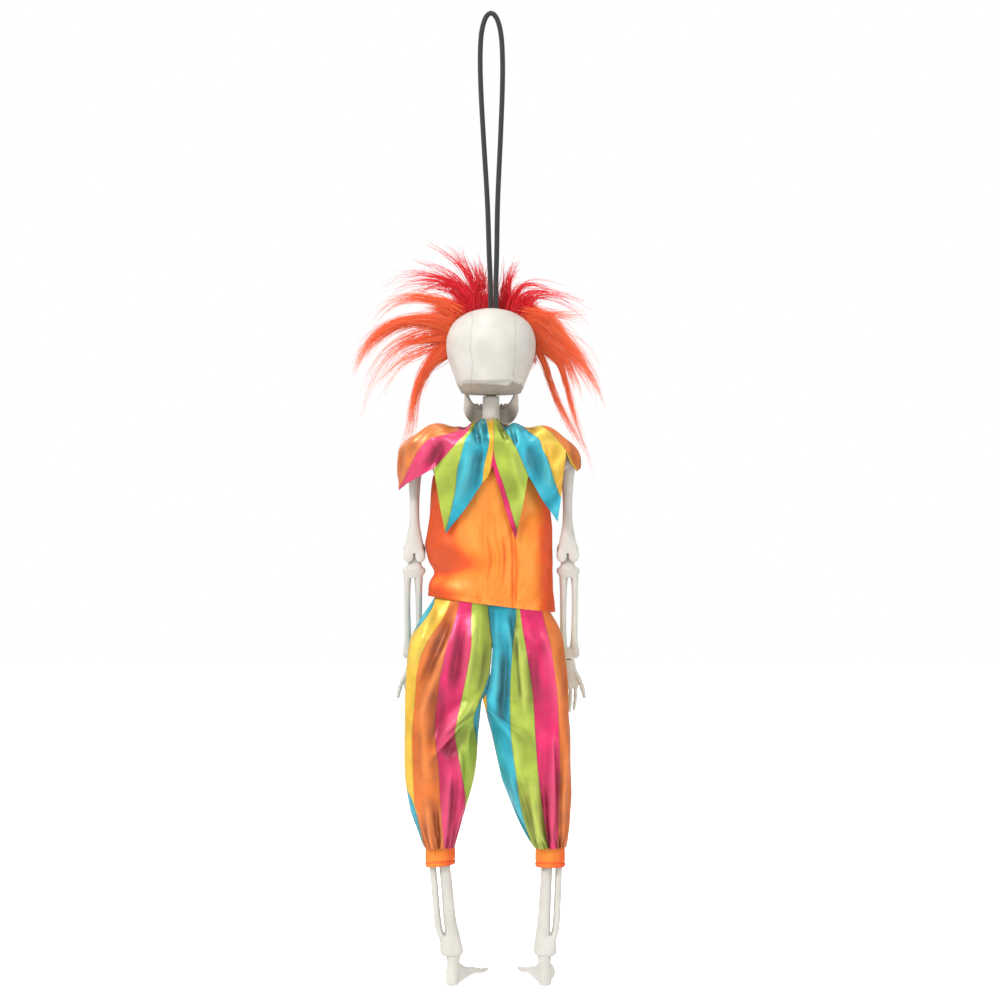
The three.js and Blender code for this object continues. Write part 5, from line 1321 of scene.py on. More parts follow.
def leg_surface(name, side, rows=222, cols=278):
    """One trouser leg with its half of the seat. Down to the crotch a ring is the outer half of
    the seat's oval with a flat wall on the middle seam, and below it the wall swells to the
    inner half of the leg's oval."""
    down = np.linspace(-25, LEG_END, rows)

    def smooth_table(keys, table):
        """The table's smooth rows at each step down the leg."""
        share = np.interp(down, keys, np.arange(len(keys))) / (len(keys) - 1)
        return through(table, 0, np.clip(share, 0, 1))

    def column(v):
        """A row's number for every point of its ring."""
        return v[:, None]

    seat, leg = np.array(SEAT_ROWS), np.array(LEG_ROWS[name])
    above, below = smooth_table(-seat[:, 0], seat), smooth_table(leg[:, 0], leg)
    high = down < CROTCH_DOWN
    edge = np.where(high, above[:, 1 if side > 0 else 2], below[:, 2])
    front, back, sweep = (np.where(high, above[:, i], below[:, i]) for i in (3, 4, 5))
    seam = side * np.interp(down, SEAM_DOWN, SEAM_X)
    inner = np.where(high, seam, below[:, 1])
    parted = ease(down, CROTCH_DOWN, CROTCH_DOWN + 30)
    middle = np.where(high, seam, inner + (below[:, 2] - inner) / 2 * parted)
    # Columns start on the inside of the leg and go round over its front, its outside and its back
    u = np.linspace(0, 1, cols, endpoint=False)[None]
    angle = np.interp(u, (0, 0.19, 0.81, 1), (-np.pi, -np.pi / 2, np.pi / 2, np.pi))
    angle = angle if side > 0 else angle[:, ::-1]
    c, s = squared(np.cos(angle), 2.1), squared(np.sin(angle), 2.1)
    across = np.where(c > 0, column(edge - middle) * c, column(middle - inner) * c)
    x = side * (column(middle) + across)
    y = 3.0 + np.where(s > 0, column(back), column(front)) * s + column(sweep) * np.clip(c, 0, 1) ** 2
    deep = column(down)
    grid = stacked(x, y, HIP - deep)
    rng = np.random.default_rng(SEED + (2 if side > 0 else 3))
    ankle = ease(deep, 88, 120)
    # Folds keep off the middle seam, where the two legs meet
    off_wall = np.maximum(ease(c, 0, 0.1), ease(deep, CROTCH_DOWN + 4, CROTCH_DOWN + 26))
    off_seam = 1 - bump(c / 0.22) * (1 - ease(deep, CROTCH_DOWN, CROTCH_DOWN + 14))
    height = 2.6 * bump((deep + 1) / 19) * (1 - 0.75 * ease(c, 0.7, 0.97)) * ripples(angle, rng, 9, 22, 6)
    height += 1.0 * ease(deep, -10, 15) * (1 - ankle) * ripples(angle + deep * 0.006, rng, 4, 9, 4)
    height += 0.5 * ease(deep, 0, 30) * ripples(angle - deep * 0.012, rng, 7, 16, 4)
    height += 0.7 * ease(deep, 112, 120) * ripples(angle, rng, 24, 44, 5)
    gathers = (0.8 if side > 0 else 1.4) * ankle * (1 - 0.45 * ease(deep, 116, 122))
    height += gathers * ripples(angle, rng, 10, 22, 5)
    for fold in LEG_FOLDS[name]:
        height += (s > 0.05) * ease(s, 0.05, 0.3) * crease(grid, *fold)
    return raised(grid, height * off_seam * off_wall, True), angle, deep


def trouser_leg(name, side):
    """Returns the top and the bottom of one trouser leg as two pieces of one surface. Its strips
    behind follow the photograph, and ahead they go on from the outermost column, one width each."""
    grid, angle, deep = leg_surface(name, side)
    behind = stripe_value(grid, LEG_TABLE[name])
    run = np.cumsum(np.linalg.norm(np.diff(grid, axis=1, prepend=grid[:, :1]), axis=2), 1)
    outmost = int(np.argmin(np.abs(angle[0])))
    strip = bpy.context.scene.doll_sizes.strip_width * 1000
    ahead = behind[:, [outmost]] - side * np.abs(run - run[:, [outmost]]) / strip
    number = np.where(angle < 0, ahead, behind)
    values = {"stripe": number if side > 0 else 5 - number}
    wall = np.abs(angle) > np.pi / 2 + 1e-6
    keep = ~((wall | np.roll(wall, -1, 1)) & (deep < CROTCH_DOWN - 0.1))
    split = int(np.argmin(np.abs(HIP - deep[:, 0] - LEG_SPLIT)))
    top = sewn(f"{name}_trouser_top", grid, True, values, keep, slice(0, split + 1), rounds=78)
    bottom = sewn(f"{name}_trouser_bottom", grid, True, values, None, slice(split, None), rounds=78)
    return top, bottom


# Cuffs, elastics and tape


def band(name, x, y, top, height, wide, deep, wall,
         waves=0, depth=0.0, swell=0.0, hem=0.0, slope=0.0, cols=200, rows=40):
    """A closed band of cloth: level ovals down from its top, with puckers round it, a swell at
    half height and a folded hem below. A slope makes it longer on one side than on the other."""
    turn = around(cols)
    v = np.linspace(0, 1, rows)[:, None]
    rng = np.random.default_rng(SEED + len(name))
    fall = (height + slope * np.cos(turn)) * v
    grid = stacked(x + wide * np.cos(turn), y + deep * np.sin(turn), top - fall)
    lift = swell * np.sin(np.pi * v) + hem * bump((v - 0.86) / 0.12) - hem * bump((v - 0.74) / 0.05)
    if waves:
        lift = lift + depth * (1 - 0.6 * v) * ripples(turn, rng, max(waves - 4, 1), waves + 6, 4)
    # Deeper orange towards the hem and on two opposite sides of the band.
    deepening = 0.3 + 0.3 * bump((v - 1) / 0.2) + 0.25 * np.cos(2 * turn + 0.7)
    return sewn(name, raised(grid, lift, True), True, {"deep": deepening}, wall=wall)


def closure_tape():
    """The hook and loop tape: the part of the shirt's surface, drawn in by 1.2 mm, that lies
    between two heights and two places across its back."""
    grid = shirt_surface(1.2, 190, 420)
    half_way, mid_back = 90, 100
    x, y = grid[half_way, :, 0], grid[half_way, :, 1]
    z = grid[:, mid_back, 2]
    cols = np.flatnonzero((x > -9) & (x < 3) & (y > 0))
    rows = np.flatnonzero((z < -291.5) & (z > -341.5))
    return sewn("closure_tape", grid[rows[0] : rows[-1] + 1, cols[0] : cols[-1] + 1], False, wall=0.8)


# Hair


def strands(name, locks, seed):
    """Thin strands that follow guide lines. A lock is its guide's points, how many strands it has,
    the spread at the root and at the tip, how far they wave, the least reach and how thick they are.
    A strand is the guide, moved by its own root place and fanned by its own direction. Strands of
    one wisp share most of their fan and of their reach."""
    rng = np.random.default_rng(seed)
    sizes = bpy.context.scene.doll_sizes
    segments, sides = 9, 3
    points, quads, tones, start = [], [], [], 0
    for guide, count, root, tip, wave, shortest, thick in locks:
        count = int(count * sizes.hair_amount)
        reach = shortest + (1.04 - shortest) * rng.uniform(0, 1, count) ** 1.35
        length = np.linalg.norm(np.diff(np.asarray(guide, float), axis=0), axis=1).sum()
        wisps = max(3, count // 16)
        wisp = rng.integers(0, wisps, count)
        base = rng.normal(0, 1, (count, 3)) * np.asarray(root, float)
        own = rng.normal(0, np.where(rng.uniform(0, 1, (count, 1)) < 0.2, 0.9, 0.16), (count, 3))
        fan = (rng.normal(0, 1.25, (wisps, 3))[wisp] + own) * np.asarray(tip, float)
        reach = shortest + (reach - shortest) * rng.uniform(0.55, 1, wisps)[wisp]
        share = np.linspace(0, 1, segments)[None] * reach[:, None]
        line = through(guide, 0, np.clip(share.ravel(), 0, 1)).reshape(count, segments, 3)
        t = share[..., None]
        line = line + base[:, None] * (1 - 0.75 * t) + fan[:, None] * t**1.5
        phase = rng.uniform(0, 2 * np.pi, (count, 1, 3))
        turns = rng.uniform(0.7, 2.2, (count, 1, 3))
        line = line + wave * t * np.sin(
            2 * np.pi * turns * t * length / 45 + phase
        ) * rng.uniform(0.2, 1, (count, 1, 1))
        line[..., 2] -= 0.03 * length * t[..., 0] ** 2 * rng.uniform(-0.5, 1, (count, 1))
        along = unit(np.gradient(line, axis=1))
        across = unit(np.cross(along, rng.normal(0, 1, (count, 1, 3))))
        up = np.cross(along, across)
        radius = sizes.strand_width * 500 * thick * (1.0 - 0.82 * np.linspace(0, 1, segments) ** 2)
        radius = radius[None, :, None, None] * rng.uniform(0.7, 1.2, (count, 1, 1, 1))
        turn = (2 * np.pi * np.arange(sides) / sides)[None, None, :, None]
        ring = line[:, :, None] + radius * (np.cos(turn) * across[:, :, None] + np.sin(turn) * up[:, :, None])
        one = grid_faces(segments, sides, True)[None]
        quads.append((one + np.arange(count)[:, None, None] * segments * sides).reshape(-1, 4) + start)
        points.append(ring.reshape(-1, 3))
        tone = rng.uniform(0, 1, (count, 1)) * 0.6 + np.linspace(0, 0.4, segments)[None]
        tones.append(np.repeat(tone.ravel(), sides))
        start += count * segments * sides
    return mesh_piece(
        name, np.concatenate(points), np.concatenate(quads), values={"tone": np.concatenate(tones)}
    )


def lock(points, count, root, tip, wave, shortest, thick):
    """A lock from pixel places seen from behind. It leaves the strip of fur ahead of the cord."""
    guide = [(float(x), -8.0, float(z)) for x, z in (seen(px, py) for px, py in points)]
    return guide, count, root, tip, wave, shortest, thick


RED_CROWN = (
    # pixel place across the crown, how far the lock leans outwards and how tall it stands, in pixels
    (459, -16, 15.2), (464, -12, 20.8), (469, -8, 24.8), (474, -6, 28), (479, -3, 29.6), (485, -1, 28.8),
    (497, 1, 22.4), (503, 4, 26.4), (508, 8, 27.2), (514, 11, 23.2), (520, 14, 19.2), (525, 17, 15.2),
)
WISP_SHARE = 0.55
RED_WISPS = (
    # the lock's points as pixels, and its strands
    ([(470, 296), (455, 281), (435, 271), (412, 269), (385, 282)], 90),
    ([(462, 300), (442, 284), (415, 286), (390, 298), (360, 334)], 45),
    ([(476, 290), (463, 268), (449, 257), (426, 248)], 80),
    ([(482, 288), (479, 268), (474, 250)], 70),
    ([(472, 296), (458, 277), (440, 264), (414, 257)], 70),
    ([(484, 288), (484, 268), (481, 248)], 45),
    ([(468, 298), (452, 283), (428, 276), (400, 276)], 60),
    ([(466, 300), (446, 288), (422, 283), (396, 288)], 40),
    ([(506, 292), (512, 277), (527, 272)], 70),
    ([(518, 300), (533, 291), (556, 293), (584, 303), (607, 328)], 45),
    ([(512, 296), (524, 283), (545, 284), (566, 291)], 55),
    ([(503, 292), (509, 272), (512, 256)], 45),
    ([(520, 301), (540, 296), (564, 300), (590, 318), (602, 346)], 35),
    ([(478, 292), (470, 272), (462, 258), (446, 244)], 45),
)
SIDE_LOCKS = {
    # how full the side is, then for each lock its points as pixels, its strands, its spread at the
    # root and at the tip in millimetres, and the least reach of a strand as a share of the lock
    "left": (1.1, (
        ([(463, 311), (448, 303), (436, 299), (411, 295), (385, 303), (361, 330)],
         260, (1.6, 2.2, 1.6), (2, 3, 2.2), 0.3),
        ([(458, 317), (446, 310), (434, 306), (420, 305)], 420, (1.6, 2.2, 2.6), (2.4, 3, 2.6), 0.3),
        ([(455, 325), (440, 321), (426, 318), (399, 321), (376, 333), (360, 354), (352, 376)],
         460, (1.6, 2.2, 2.2), (1.7, 3, 1.8), 0.35),
        ([(452, 329), (438, 324), (415, 320), (390, 327), (366, 346), (356, 366)],
         260, (1.4, 2.2, 1.8), (2, 3, 2.4), 0.3),
        ([(449, 337), (436, 338), (426, 339), (410, 341), (397, 348), (387, 363)],
         230, (1.4, 2.2, 1.4), (1.8, 3, 1.7), 0.3),
        ([(449, 345), (439, 354), (429, 363), (419, 380), (413, 402), (409, 429), (399, 458)],
         470, (1.2, 2.2, 2.4), (1.3, 3, 2), 0.35),
        ([(448, 350), (439, 357), (430, 367), (421, 386), (414, 410)],
         260, (1.2, 2.2, 2.2), (1.6, 3, 2), 0.3),
        ([(452, 322), (444, 330), (440, 342), (441, 350)], 420, (2.6, 2.2, 3.4), (2.2, 3, 3), 0.3),
        ([(450, 342), (428, 350), (404, 362), (388, 382), (372, 410)], 45, (1.2, 2.2, 2.4), (5, 6, 6), 0.5),
        ([(450, 330), (425, 330), (396, 340), (372, 362), (356, 400)], 45, (1.2, 2.2, 2.4), (5, 6, 6), 0.5),
    )),
    "right": (1.2, (
        ([(524, 311), (538, 313), (551, 319), (569, 339), (586, 361), (600, 388)],
         260, (1.6, 2.2, 2.0), (2, 3, 2.6), 0.3),
        ([(530, 318), (542, 321), (556, 331), (573, 352), (590, 375), (601, 395)],
         280, (1.6, 2.2, 2.2), (2, 3, 2.4), 0.35),
        ([(534, 330), (546, 338), (556, 349), (572, 360), (588, 378), (598, 398)],
         150, (1.4, 2.2, 1.8), (2, 3, 2.2), 0.3),
        ([(537, 343), (549, 352), (560, 363), (568, 390), (578, 427), (595, 476)],
         240, (1.0, 2.2, 1.6), (1.1, 2.6, 2), 0.35),
        ([(537, 348), (544, 362), (550, 382), (558, 404), (574, 436), (588, 458)],
         190, (1.0, 2.2, 1.6), (1.3, 2.6, 2), 0.3),
        ([(536, 338), (552, 345), (567, 361), (575, 382), (578, 406)],
         150, (1.2, 2.2, 1.6), (1.8, 3, 2.4), 0.3),
        ([(530, 316), (536, 328), (539, 342), (537, 352)], 520, (2.6, 2.2, 3.4), (2.2, 3, 3), 0.3),
        ([(531, 352), (534, 360), (531, 368)], 60, (1.0, 2.0, 1.4), (1.6, 2, 1.6), 0.4),
        ([(530, 316), (548, 312), (566, 310), (584, 311)], 45, (1.6, 2.2, 2.4), (4, 5, 3.6), 0.5),
        ([(540, 336), (562, 342), (586, 360), (604, 400), (606, 436)], 50, (1.2, 2.2, 2.6), (5, 6, 6), 0.5),
    )),
}


def hair_pieces():
    """The three pieces of the fur strip. A lock of the crown stands on an arc over the skull and
    leans outwards, and the wisps and the sides follow the photograph's locks."""
    red = []
    for px, lean, tall in RED_CROWN:
        base = 313.5 - 6.6 * (1 - ((px - 491) / 40) ** 2)
        guide = [(px, base + 2), (px + lean * 0.4, base - tall * 0.5), (px + lean, base - tall)]
        red.append(lock(guide, 190, (1.8, 1.8, 0.8), (3.6, 2.6, 4.2), 0.8, 0.4, 1.0))
    for points, count in RED_WISPS:
        red.append(lock(points, count * WISP_SHARE, (1.6, 1.8, 1.0), (4.5, 5, 5.5), 1.8, 0.45, 1.15))
    made = [strands("red_crown_fur", red, SEED)]
    for side, (fullness, rows) in SIDE_LOCKS.items():
        locks = [
            lock(points, count * fullness, root, tip, 1.0, least, 1.0)
            for points, count, root, tip, least in rows
        ]
        made.append(strands(f"{side}_orange_fur", locks, SEED + len(made)))
    return made


# Colours and finishes


def painted_fold_light(tree, colour_in):
    """Satin's colour in folds, with painted light: painted shade on their sides and in their valleys, and
    a painted highlight along their ridges."""
    # Painted shade on the sides of folds, deeper the further the cloth leans off its broad shape.
    depth = ramp(tree, value_of(tree, "lean"), [(0.04, "#FFFFFF"), (0.3, "#DCD8D6"), (0.7, "#B0A8A6")])
    height = between(tree, value_of(tree, "relief"), 0, 1, -0.9, 1.5)
    # Painted shade in the valleys and a painted highlight along the ridges, both from the cloth's relief.
    painted_valley_shade = ramp(tree, height, [(0.0, "#C8C0BE"), (0.34, "#F2F0F0"), (0.45, "#FFFFFF")])
    painted_ridge_highlight = ramp(tree, height, [(0.42, "#000000"), (0.8, "#A0A0A0")])
    deep = times(tree, colour_in, depth, painted_valley_shade)
    # The painted highlight: the colour overlaid and mixed with a pale cream.
    painted_highlight_colour = mixed(tree, 0.12, mixed(tree, 0.75, colour_in, "#FFF6E0", "OVERLAY"), "#FFF6E0")
    return mixed(tree, painted_ridge_highlight, deep, painted_highlight_colour)


def satin(name, colours_from, roughness=0.34):
    """Polyester satin: long floats lie over the cloth, so it shines in streaks across them. A fine
    bump carries the threads, and a broad one the small creases of cloth that has been packed."""
    material = finish(
        name, {"Metallic": 0.3, "Specular IOR Level": 0.7, "Anisotropic": 0.6}, bump_from=threads,
        bump_strength=0.16, bump_mm=0.06, colour_from=colours_from,
        rough_from=lambda t: between(t, noise(t, 5, 3), roughness - 0.05, roughness + 0.09),
    )
    tree = material.node_tree
    surface = next(n for n in tree.nodes if n.type == "BSDF_PRINCIPLED")
    along = node(tree, "ShaderNodeTangent", {"direction_type": "UV_MAP", "uv_map": "UVMap"})
    tree.links.new(along.outputs[0], surface.inputs["Tangent"])
    creases = node(
        tree, "ShaderNodeBump", {"Strength": 0.35, "Distance": 0.0006},
        {"Height": noise(tree, 7, 4, stretch=(1, 1, 2.2))}
    )
    fine = next(n for n in tree.nodes if n.type == "BUMP" and n != creases)
    tree.links.new(creases.outputs[0], fine.inputs["Normal"])
    return material


def threads(tree):
    """Satin's threads: fine waves 0.35 mm apart across the cloth, broken up along it. The cloth's
    UV is in millimetres."""
    place = places(tree, "UV")
    scale = node(tree, "ShaderNodeMapping", {"Scale": (3.0, 0.4, 1)}, {"Vector": place})
    return node(
        tree, "ShaderNodeTexNoise", {"Scale": 1.0, "Detail": 2.0}, {"Vector": scale.outputs[0]}
    ).outputs[0]


def striped_satin():
    """Five colours of satin sewn in strips, picked by the cloth's strip number, with a darker
    stitched line where two strips meet."""
    colours = bpy.context.scene.doll_colours
    order = (colours.yellow, colours.satin_orange, colours.magenta, colours.lime, colours.turquoise)

    def strips(tree):
        """The strip's colour, darker at its seams, unevenly dyed, with painted shade and highlights on its
        folds.
        """
        number = value_of(tree, "stripe")
        cycle = maths(tree, "DIVIDE", maths(tree, "FLOORED_MODULO", number, 5.0), 5.0)
        plain = ramp(tree, cycle, [(i / 5, hex_of(c)) for i, c in enumerate(order)], "CONSTANT")
        near = maths(tree, "PINGPONG", number, 0.5)
        line = ramp(tree, near, [(0.0, "#C4C4C4"), (0.03, "#FFFFFF")])
        tint = ramp(tree, noise(tree, 11, 3), [(0.3, "#DCDCDC"), (0.7, "#FFFFFF")])
        return painted_fold_light(tree, times(tree, plain, line, tint))

    return satin("polyester_satin_strips", strips)


def orange_satin():
    """Orange satin, deeper where the cloth's own value says and with painted shade on the sides of folds,
    with uneven dye.
    """
    colours = bpy.context.scene.doll_colours

    def deepening(tree):
        """The colour of the larger of two depths, the cloth's own and its lean's; the lean's is painted shade
        on fold sides.
        """
        # Painted shade on the sides of folds, from the cloth's lean.
        slope = maths(tree, "MULTIPLY", value_of(tree, "lean"), 1.1)
        painted_shade_depth = maths(tree, "MAXIMUM", slope, value_of(tree, "deep"))
        uneven = maths(tree, "ADD", painted_shade_depth, between(tree, noise(tree, 16, 3), -0.16, 0.16))
        # The stops run from light orange to the darkest painted shade, which the big fold reaches.
        stops = [
            (0.0, "#FF9C38"), (0.22, hex_of(colours.shirt_light)), (0.7, hex_of(colours.shirt_painted_shade)),
            (1.0, "#DC5214")
        ]
        shaded_orange = ramp(tree, uneven, stops)
        tint = ramp(tree, noise(tree, 12, 3), [(0.3, "#ECECEC"), (0.7, "#FFFFFF")])
        return times(tree, shaded_orange, tint)

    return satin("polyester_satin_orange", deepening, 0.47)


def knitted_elastic():
    """White braided elastic: ribs 0.9 mm apart round the band, slightly grey between them."""

    def ribs(tree):
        """Waves round the band, slightly bent."""
        place = places(tree, "UV")
        scale = node(tree, "ShaderNodeMapping", {"Scale": (0.35, 1.1, 1)}, {"Vector": place})
        return node(
            tree, "ShaderNodeTexWave", {"Scale": 0.5, "bands_direction": "Y", "Distortion": 0.8},
            {"Vector": scale.outputs[0]}
        ).outputs["Fac"]

    return finish(
        "elastic_braided_white", {"Roughness": 0.8, "Sheen Weight": 0.3}, bump_from=ribs,
        bump_strength=0.5, bump_mm=0.2,
        colour_from=lambda t: ramp(t, ribs(t), [(0.1, "#C9C6BF"), (0.9, "#EFEDE8")]),
    )


def fur(name, dark, light):
    """Modacrylic fibres: each has its own tone, is lighter towards its tip, and lets light through."""
    material = finish(
        name, {"Roughness": 0.5, "Sheen Weight": 0.2}, bump_from=lambda t: noise(t, 0.5, 2), bump_mm=0.01,
        colour_from=lambda t: ramp(t, value_of(t, "tone"), [(0.0, dark), (0.55, light), (1.0, light)]),
    )
    tree = material.node_tree
    surface = next(n for n in tree.nodes if n.type == "BSDF_PRINCIPLED")
    output = next(n for n in tree.nodes if n.type == "OUTPUT_MATERIAL")
    shine = node(
        tree, "ShaderNodeBsdfTranslucent", {},
        {"Color": ramp(tree, value_of(tree, "tone"), [(0.0, dark), (0.5, light)])}
    )
    both = node(tree, "ShaderNodeMixShader", {"Fac": 0.35}, {1: surface.outputs[0], 2: shine.outputs[0]})
    shaded = node(tree, "ShaderNodeLightPath").outputs["Is Shadow Ray"]
    gap = node(tree, "ShaderNodeBsdfTransparent", {"Color": (1, 0.75, 0.7, 1)})
    share = maths(tree, "MULTIPLY", shaded, 0.75)
    thin = node(tree, "ShaderNodeMixShader", {}, {"Fac": share, 1: both.outputs[0], 2: gap.outputs[0]})
    tree.links.new(thin.outputs[0], output.inputs["Surface"])
    return material


MADE = {}


def material_of(maker):
    """A material made once and then shared."""
    if maker.__name__ not in MADE:
        MADE[maker.__name__] = maker()
    return MADE[maker.__name__]


# The stage

LAMPS = (
    # name, place and aim in metres, side in metres, power in watts
    ("key", (0.9, 1.3, 0.75), (0, 0, -0.3), 0.5, 16.0),
    ("fill", (-1.2, 1.3, -0.1), (0, 0, -0.35), 0.8, 4.5),
    ("top", (0.0, 0.1, 1.3), (0, 0, -0.2), 0.8, 6.5),
    ("front", (0.2, -1.6, 0.3), (0, 0, -0.3), 1.2, 4.0),
)
FLOOR_Z, FLOOR_HALF = -640, 4000  # its height, below the toes, and half its width in millimetres


def stage(scene):
    """A camera behind the doll where the photograph's was, four soft lamps, and a white room
    that is lit white for the camera and plain for everything else."""
    lens = bpy.data.cameras.new("camera")
    lens.lens, lens.sensor_width, lens.clip_end = 91.5, 36, 30
    camera = bpy.data.objects.new("camera", lens)
    camera.location = (-0.0053, 1.5, -0.2856)
    camera.rotation_euler = (math.radians(90), 0, math.radians(180))
    scene.collection.objects.link(camera)
    scene.camera = camera
    for name, place, aim, side, power in LAMPS:
        light = bpy.data.lights.new(name, "AREA")
        light.energy, light.size = power, side
        lamp = bpy.data.objects.new(name, light)
        lamp.location = place
        look = Vector(aim) - Vector(place)
        lamp.rotation_euler = look.to_track_quat("-Z", "Y").to_euler()
        scene.collection.objects.link(lamp)
    corners = [(x * FLOOR_HALF, y * FLOOR_HALF, FLOOR_Z) for x, y in ((-1, -1), (1, -1), (1, 1), (-1, 1))]
    floor = mesh_piece("floor", np.array(corners, float), np.array([[0, 1, 2, 3]]))
    dress(floor, floor_material())
    scene.world = white_room()
    scene.view_settings.view_transform = "Standard"
    scene.render.resolution_x = scene.render.resolution_y = 1000


def white_room():
    """A world that shows the camera plain white. What it sheds on the doll is brightest from above
    and falls off smoothly to the side and below."""
    world = bpy.data.worlds.new("white_room")
    tree = emptied(world)
    rays = node(tree, "ShaderNodeLightPath")
    seen_by_eye = maths(tree, "MAXIMUM", rays.outputs["Is Camera Ray"], rays.outputs["Is Transmission Ray"])
    way = places(tree, "Generated")
    above = node(tree, "ShaderNodeVectorMath", {"operation": "DOT_PRODUCT", 1: (0.35, 0.15, 0.92)}, {0: way})
    power = between(tree, above.outputs["Value"], 0.16, 0.9, -0.7, 0.8)
    plain = node(tree, "ShaderNodeBackground", {"Color": (1, 1, 1, 1)}, {"Strength": power})
    white = node(tree, "ShaderNodeBackground", {"Color": (1, 1, 1, 1), "Strength": 1.0})
    both = node(
        tree, "ShaderNodeMixShader", {}, {"Fac": seen_by_eye, 1: plain.outputs[0], 2: white.outputs[0]})
    node(tree, "ShaderNodeOutputWorld", {}, {"Surface": both.outputs[0]})
    return world


def floor_material():
    """A pale floor: matt white that keeps a faint shadow, and shows white where it is lit."""
    material = bpy.data.materials.new("matt_white_floor")
    tree = emptied(material)
    matt = node(tree, "ShaderNodeBsdfDiffuse", {"Color": (0.9, 0.9, 0.9, 1)})
    place = places(tree)
    away = node(tree, "ShaderNodeVectorMath", {"operation": "LENGTH"}, {0: place}).outputs["Value"]
    glow = node(
        tree, "ShaderNodeEmission", {"Color": (1, 1, 1, 1)},
        {"Strength": between(tree, away, 0.45, 0.7, 0.64, 1.0)}
    )
    eye = node(tree, "ShaderNodeLightPath").outputs["Is Camera Ray"]
    off = node(tree, "ShaderNodeEmission", {"Color": (0, 0, 0, 1), "Strength": 0.0})
    lit = node(tree, "ShaderNodeMixShader", {}, {"Fac": eye, 1: off.outputs[0], 2: glow.outputs[0]})
    both = node(tree, "ShaderNodeAddShader", {}, {0: matt.outputs[0], 1: lit.outputs[0]})
    node(tree, "ShaderNodeOutputMaterial", {}, {"Surface": both.outputs[0]})
    return material


# The add-on


def size(name, description, default, low, high):
    """A length that a user can change, in metres."""
    return FloatProperty(
        name=name, description=description, default=default, min=low, max=high, unit="LENGTH", precision=5
    )


def tint(name, description, value):
    """A colour that a user can change, from an sRGB hex value."""
    return FloatVectorProperty(
        name=name, description=description, subtype="COLOR", size=3, min=0, max=1, default=colour(value)[:3]
    )


class DollSizes(PropertyGroup):
    cloth_thickness: size(
        "Cloth thickness", "Thickness of the satin with its hem allowance", 0.00045, 0.0001, 0.002
    )
    strip_width: size("Strip width", "Width of one strip of satin", 0.0135, 0.004, 0.05)
    strand_width: size("Strand width", "Width of a tuft of fur fibres at its root", 0.00032, 0.00005, 0.002)
    hair_amount: FloatProperty(
        name="Hair amount", description="Share of the strands that are made", default=1.0, min=0.02, max=2
    )


class DollColours(PropertyGroup):
    yellow: tint("Yellow", "Yellow satin strip", "#FFC93A")
    satin_orange: tint("Orange strip", "Orange satin strip", "#F07A28")
    magenta: tint("Magenta", "Magenta satin strip", "#F01E6C")
    lime: tint("Lime", "Lime satin strip", "#B5CC45")
    turquoise: tint("Turquoise", "Turquoise satin strip", "#1FB6D0")
    shirt_light: tint("Shirt light", "Orange satin on flat cloth", "#FF8C22")
    # The shirt's deep colour is painted shade on the sides of folds and of the shirt.
    shirt_painted_shade: tint("Shirt deep", "Orange satin on the sides of folds", "#FA560E")


class DOLL_OT_cord(Operator):
    """Makes the hanging cord and the knot inside the skull"""

    bl_idname = "doll.cord"
    bl_label = "Hanging cord"

    def execute(self, context):
        for piece, part in ((hanging_cord(), "hanging_loop"), (cord_knot(), "loop_knot")):
            dress(piece, material_of(cord_braid))
            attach(piece, "head")
            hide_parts(part)
        return {"FINISHED"}


class DOLL_OT_skull(Operator):
    """Makes the two halves of the skull and the jaw"""

    bl_idname = "doll.skull"
    bl_label = "Skull and jaw"

    def execute(self, context):
        back, face = skull_halves()
        for piece, part, body, maker in (
            (back, "cranium_back", "head", skull_plastic),
            (face, "face_shell", "head", face_plastic),
            (jaw(), "jawbone", "jaw", face_plastic),
        ):
            dress(piece, material_of(maker))
            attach(piece, body)
            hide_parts(part)
        return {"FINISHED"}


class DOLL_OT_bones(Operator):
    """Makes the neck post and the long bones, hands and feet of both sides"""

    bl_idname = "doll.bones"
    bl_label = "Neck, arms and legs"

    def execute(self, context):
        made = [(neck_post(), "neck_post", "torso")]
        for part, (maker, body, voxel) in BONES.items():
            for name in SIDES:
                bone = fused(f"{name}_{part}_bone", maker(name), voxel, 4)
                made.append((bone, f"{name}_{part}", f"{name}_{body}"))
        for piece, part, body in made:
            dress(piece, material_of(bone_plastic))
            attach(piece, body)
            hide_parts(part)
        return {"FINISHED"}


class DOLL_OT_trunk(Operator):
    """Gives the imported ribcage, spine, pelvis and pins their finishes"""

    bl_idname = "doll.trunk"
    bl_label = "Trunk and pins"

    def execute(self, context):
        for name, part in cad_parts.items():
            if name in ("ribcage", "spine", "pelvis"):
                dress(part, material_of(bone_plastic))
            elif name.endswith("_pin"):
                dress(part, material_of(steel_pin))
        return {"FINISHED"}


class DOLL_OT_hair(Operator):
    """Makes the three pieces of faux fur"""

    bl_idname = "doll.hair"
    bl_label = "Hair"

    def execute(self, context):
        red = fur("modacrylic_fur_red", "#D80820", "#F81A36")
        orange = fur("modacrylic_fur_orange", "#FF6220", "#FF9055")
        parts = ("hair_crown_red", "hair_left_orange", "hair_right_orange")
        for piece, part, material in zip(hair_pieces(), parts, (red, orange, orange)):
            dress(piece, material)
            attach(piece, "head")
            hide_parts(part)
        return {"FINISHED"}


class DOLL_OT_shirt(Operator):
    """Makes the orange satin shirt and its closure tape"""

    bl_idname = "doll.shirt"
    bl_label = "Shirt"

    def execute(self, context):
        tape = dress(closure_tape(), material_of(knitted_elastic))
        top = dress(shirt(), material_of(orange_satin))
        for piece, part, slot in (
            (tape, "shirt_closure_tape", "white_elastic"), (top, "shirt", "orange_satin")
        ):
            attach(piece, "torso")
            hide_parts(part)
        return {"FINISHED"}


